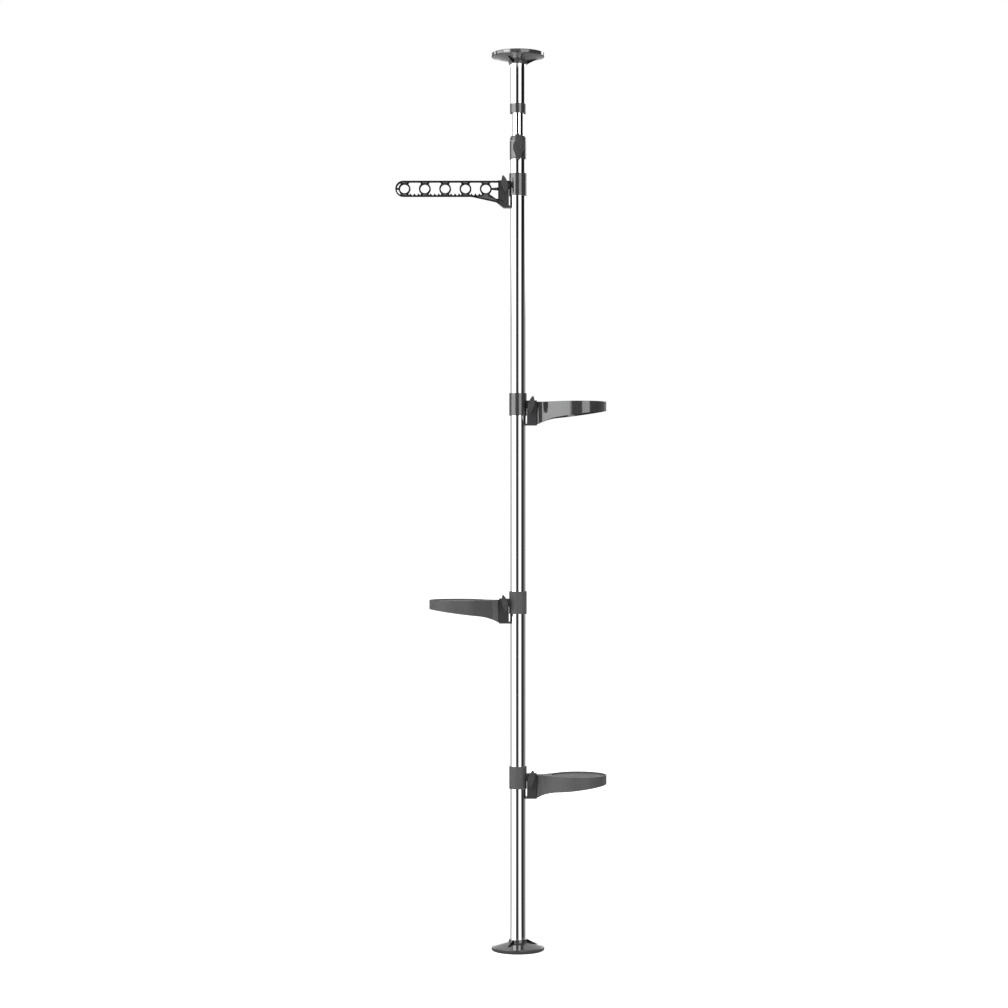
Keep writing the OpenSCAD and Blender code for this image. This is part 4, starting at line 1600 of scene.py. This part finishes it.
# Brightness round the pole, as stops of an angle in degrees and a strength. The viewer's side is
# at 0 and the right side at 90. First the part that the horizon and the floor share.
SIDE_PANELS = (
    (-110, 0.5), (-101, 0.5), (-94.5, 0.8), (-90, 3.4), (-40, 3.4), (-33.5, 1.8), (-27.5, 0.12),
    (-24, 0.05), (11.4, 0.05), (14.6, 2.6), (42.9, 2.9), (46.3, 0.03), (80, 0.03), (90, 0.1),
    (105, 0.2), (125, 0.35), (136, 0.6),
)
LEVEL_PANELS = (
    (-180, 2.2), (-168, 2.2), (-163, 0.6), *SIDE_PANELS, (163, 0.6), (168, 2.2), (180, 2.2),
)
HIGH_PANELS = (
    (-180, 2.2), (-166, 2.2), (-160, 0.55), (-138, 0.6), (-132, 0.35), (-118, 0.35), (-110, 1.2),
    (-104, 1.2), (-98, 3.6), (-64, 3.8), (-61, 4.2), (-43, 4.2), (-36, 3.0), (-28, 0.1),
    (-23, 0.03), (11.4, 0.02), (14.4, 2.9), (43.6, 3.2), (46.2, 0.01), (82, 0.01), (98, 0.05),
    (111, 0.15), (121, 0.8), (128, 3.0), (137, 3.6), (143, 0.9), (160, 0.6), (166, 2.2), (180, 2.2),
)
TOP_PANELS = (
    (-180, 2.2), (-166, 2.2), (-160, 0.6), (-125, 0.6), (-123, 9.0), (-115, 9.0), (-113, 0.2),
    (-105, 0.2), (-102, 4.2), (-66, 4.2), (-63, 11.0), (-37, 11.0), (-34, 0.6), (9, 0.6),
    (12, 2.6), (49, 2.6), (52, 0.02), (122, 0.02), (125, 9.0), (136, 9.0), (139, 0.9),
    (160, 0.6), (166, 2.2), (180, 2.2),
)
STEEP_PANELS = (
    (-180, 0.9), (-165, 0.9), (-155, 0.55), (-106, 0.6), (-92, 2.4), (-40, 2.6), (-31, 0.2),
    (10, 0.2), (13, 2.0), (44, 2.0), (47.5, 0.1), (100, 0.1), (120, 0.5), (165, 0.7), (180, 0.9),
)
FLOOR_PANELS = (
    (-180, 0.12), (-177.8, 0.12), (-175, 1.0), (-168, 1.0), (-163, 0.55), *SIDE_PANELS,
    (163, 0.55), (168, 0.8), (175, 0.8), (177.8, 0.12), (180, 0.12),
)
NEAR_FLOOR = ((-180, 0.8), (-120, 0.5), (-60, 0.35), (60, 0.3), (120, 0.5), (180, 0.8))


@dataclass
class Studio:
    """Camera, pale floor, surroundings and soft lamps."""

    camera_at: tuple[float, float, float] = (-0.0283, -4.649, 0.905)
    lens: float = 81.76
    ambient: float = 0.45

    def camera(self) -> None:
        """Places the camera level with the middle of the pole."""
        eye = bpy.data.cameras.new("camera")
        eye.lens = self.lens
        eye.sensor_width = 36.0
        eye.clip_end = 100.0
        holder = bpy.data.objects.new("camera", eye)
        bpy.context.scene.collection.objects.link(holder)
        holder.location = self.camera_at
        holder.rotation_euler = (math.pi / 2, 0.0, 0.0)
        bpy.context.scene.camera = holder

    def floor(self) -> None:
        """Lays a plain pale floor that shows white, takes a shadow and is clear from below."""
        sheet = Shape()
        bmesh.ops.create_grid(sheet.bm, x_segments=1, y_segments=1, size=FLOOR_SIZE / 2 / MM)
        mesh = sheet.mesh("floor")
        plane = bpy.data.objects.new("floor", mesh)
        plane.location = (0, 0, -FLOOR_DEPTH)
        bpy.context.scene.collection.objects.link(plane)
        material = bpy.data.materials.new("pale_floor")
        nodes = NodeTree(material)
        out = nodes.add("ShaderNodeOutputMaterial")
        matt = nodes.add("ShaderNodeBsdfDiffuse", Color=(0.8, 0.8, 0.8, 1.0))
        glow = nodes.add("ShaderNodeEmission", Color=(1, 1, 1, 1), Strength=0.9)
        mirrored = nodes.add("ShaderNodeEmission", Strength=BRIGHTEST)
        clear = nodes.add("ShaderNodeBsdfTransparent")
        both = nodes.add("ShaderNodeAddShader")
        spot = nodes.add("ShaderNodeTexCoord")
        seen = nodes.add("ShaderNodeLightPath")
        sides = nodes.add("ShaderNodeNewGeometry")
        nodes.link(self.mirrored_floor(nodes, spot.outputs["Object"]), mirrored.inputs["Color"])
        nodes.feed(both, 0, matt.outputs[0], glow.outputs[0])
        shown = nodes.choose(seen.outputs["Is Camera Ray"], matt, both)
        upper = nodes.choose(seen.outputs["Is Glossy Ray"], shown, mirrored)
        whole = nodes.choose(sides.outputs["Backfacing"], upper, clear)
        nodes.link(whole.outputs[0], out.inputs["Surface"])
        mesh.materials.append(material)

    def compass(
        self, nodes: NodeTree, source: bpy.types.NodeSocket
    ) -> tuple[bpy.types.NodeSocket, bpy.types.Node]:
        """Turns a direction or a place on the floor into an angle round the pole.

        Args:
            nodes: The tree to build in.
            source: Direction, or place measured from the pole.

        Returns:
            The angle, 0 to 1 with the viewer's side in the middle, and the node with the axes.
        """
        axes = nodes.add("ShaderNodeSeparateXYZ")
        nodes.link(source, axes.inputs["Vector"])
        back = nodes.calc("MULTIPLY", axes.outputs["Y"], -1.0)
        angle = nodes.calc("ARCTAN2", axes.outputs["X"], back)
        return nodes.calc("MULTIPLY_ADD", angle, 0.5 / math.pi, 0.5), axes

    def sky(self, nodes: NodeTree, source: bpy.types.NodeSocket) -> bpy.types.NodeSocket:
        """Gives the brightness of the studio in a direction, at four heights.

        Args:
            nodes: The tree to build in.
            source: The direction.

        Returns:
            The socket with the colour.
        """
        turn, axes = self.compass(nodes, source)
        height = axes.outputs["Z"]
        level, high, top, steep = (
            nodes.ramp(turn, panels)
            for panels in (LEVEL_PANELS, HIGH_PANELS, TOP_PANELS, STEEP_PANELS)
        )
        rising = nodes.fade(height, (0.08, 0.125), level, high)
        band = nodes.fade(height, (0.1872, 0.19), rising, top)
        return nodes.fade(height, (0.205, 0.26), band, steep)

    def mirrored_floor(
        self, nodes: NodeTree, source: bpy.types.NodeSocket
    ) -> bpy.types.NodeSocket:
        """Gives the brightness that polished surfaces mirror from the floor.

        Args:
            nodes: The tree to build in.
            source: Place on the floor, measured from the pole.

        Returns:
            The socket with the colour.
        """
        turn, _ = self.compass(nodes, source)
        flat = nodes.add("ShaderNodeVectorMath", operation="LENGTH")
        nodes.link(source, flat.inputs[0])
        near = nodes.ramp(turn, NEAR_FLOOR)
        far = nodes.ramp(turn, FLOOR_PANELS)
        return nodes.fade(flat.outputs["Value"], (0.09, 0.16), near, far)

    def surroundings(self) -> None:
        """Sets a white world with the tall dark flags that give polished tubes their lines."""
        world = bpy.data.worlds.new("studio")
        bpy.context.scene.world = world
        nodes = NodeTree(world)
        out = nodes.add("ShaderNodeOutputWorld")
        direction = nodes.add("ShaderNodeTexCoord")
        seen = nodes.add("ShaderNodeLightPath")
        glossy = nodes.add("ShaderNodeBackground", Strength=BRIGHTEST)
        white = nodes.add("ShaderNodeBackground", Color=(1, 1, 1, 1), Strength=1.0)
        soft = nodes.add("ShaderNodeBackground", Color=(1, 1, 1, 1), Strength=self.ambient)
        nodes.link(self.sky(nodes, direction.outputs["Generated"]), glossy.inputs["Color"])
        lit = nodes.choose(seen.outputs["Is Glossy Ray"], soft, glossy)
        whole = nodes.choose(seen.outputs["Is Camera Ray"], lit, white)
        nodes.link(whole.outputs[0], out.inputs["Surface"])

    def lamp(
        self, name: str, at: Sequence[float], size: float, power: float, aim: Sequence[float]
    ) -> None:
        """Places a square soft lamp that polished surfaces do not mirror.

        Args:
            name: Its name.
            at: Its place in metres.
            size: Its side in metres.
            power: Its power in watts.
            aim: The point it faces.
        """
        light = bpy.data.lights.new(name, "AREA")
        light.shape = "SQUARE"
        light.size = size
        light.energy = power
        holder = bpy.data.objects.new(name, light)
        bpy.context.scene.collection.objects.link(holder)
        holder.location = at
        holder.rotation_euler = (Vector(aim) - Vector(at)).to_track_quat("-Z", "Y").to_euler()
        holder.visible_glossy = False

    def build(self) -> None:
        """Sets up the whole studio."""
        self.camera()
        self.floor()
        self.surroundings()
        self.lamp("key", (-2.4, -3.2, 2.6), 1.8, 70.0, (0, 0, 0.9))
        self.lamp("fill", (2.6, -2.6, 1.2), 1.8, 25.0, (0, 0, 0.9))
        self.lamp("rear", (0.5, 3.0, 2.4), 2.0, 30.0, (0, 0, 0.9))
        bpy.context.scene.view_settings.view_transform = "Standard"


def main() -> None:
    """Builds every sub-assembly in order, from the floor up."""
    logging.basicConfig(level=logging.INFO, format="%(message)s")
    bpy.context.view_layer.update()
    Studio().build()
    Foot("floor", "pole", at_ceiling=False).build()
    Pole().build()
    Foot("ceiling", "ceiling_foot", at_ceiling=True, cone=MOULDED_TEXTURED).build()
    HookArm("hook", 1553.0, Side.LEFT, MOULDED).build()
    TrayArm("upper", 1107.0, Side.RIGHT, MOULDED).build()
    TrayArm("middle", 705.0, Side.LEFT, MOULDED_SATIN).build()
    TrayArm("lower", 350.0, Side.RIGHT, MOULDED_SATIN).build()


if __name__ == "__main__":
    main()
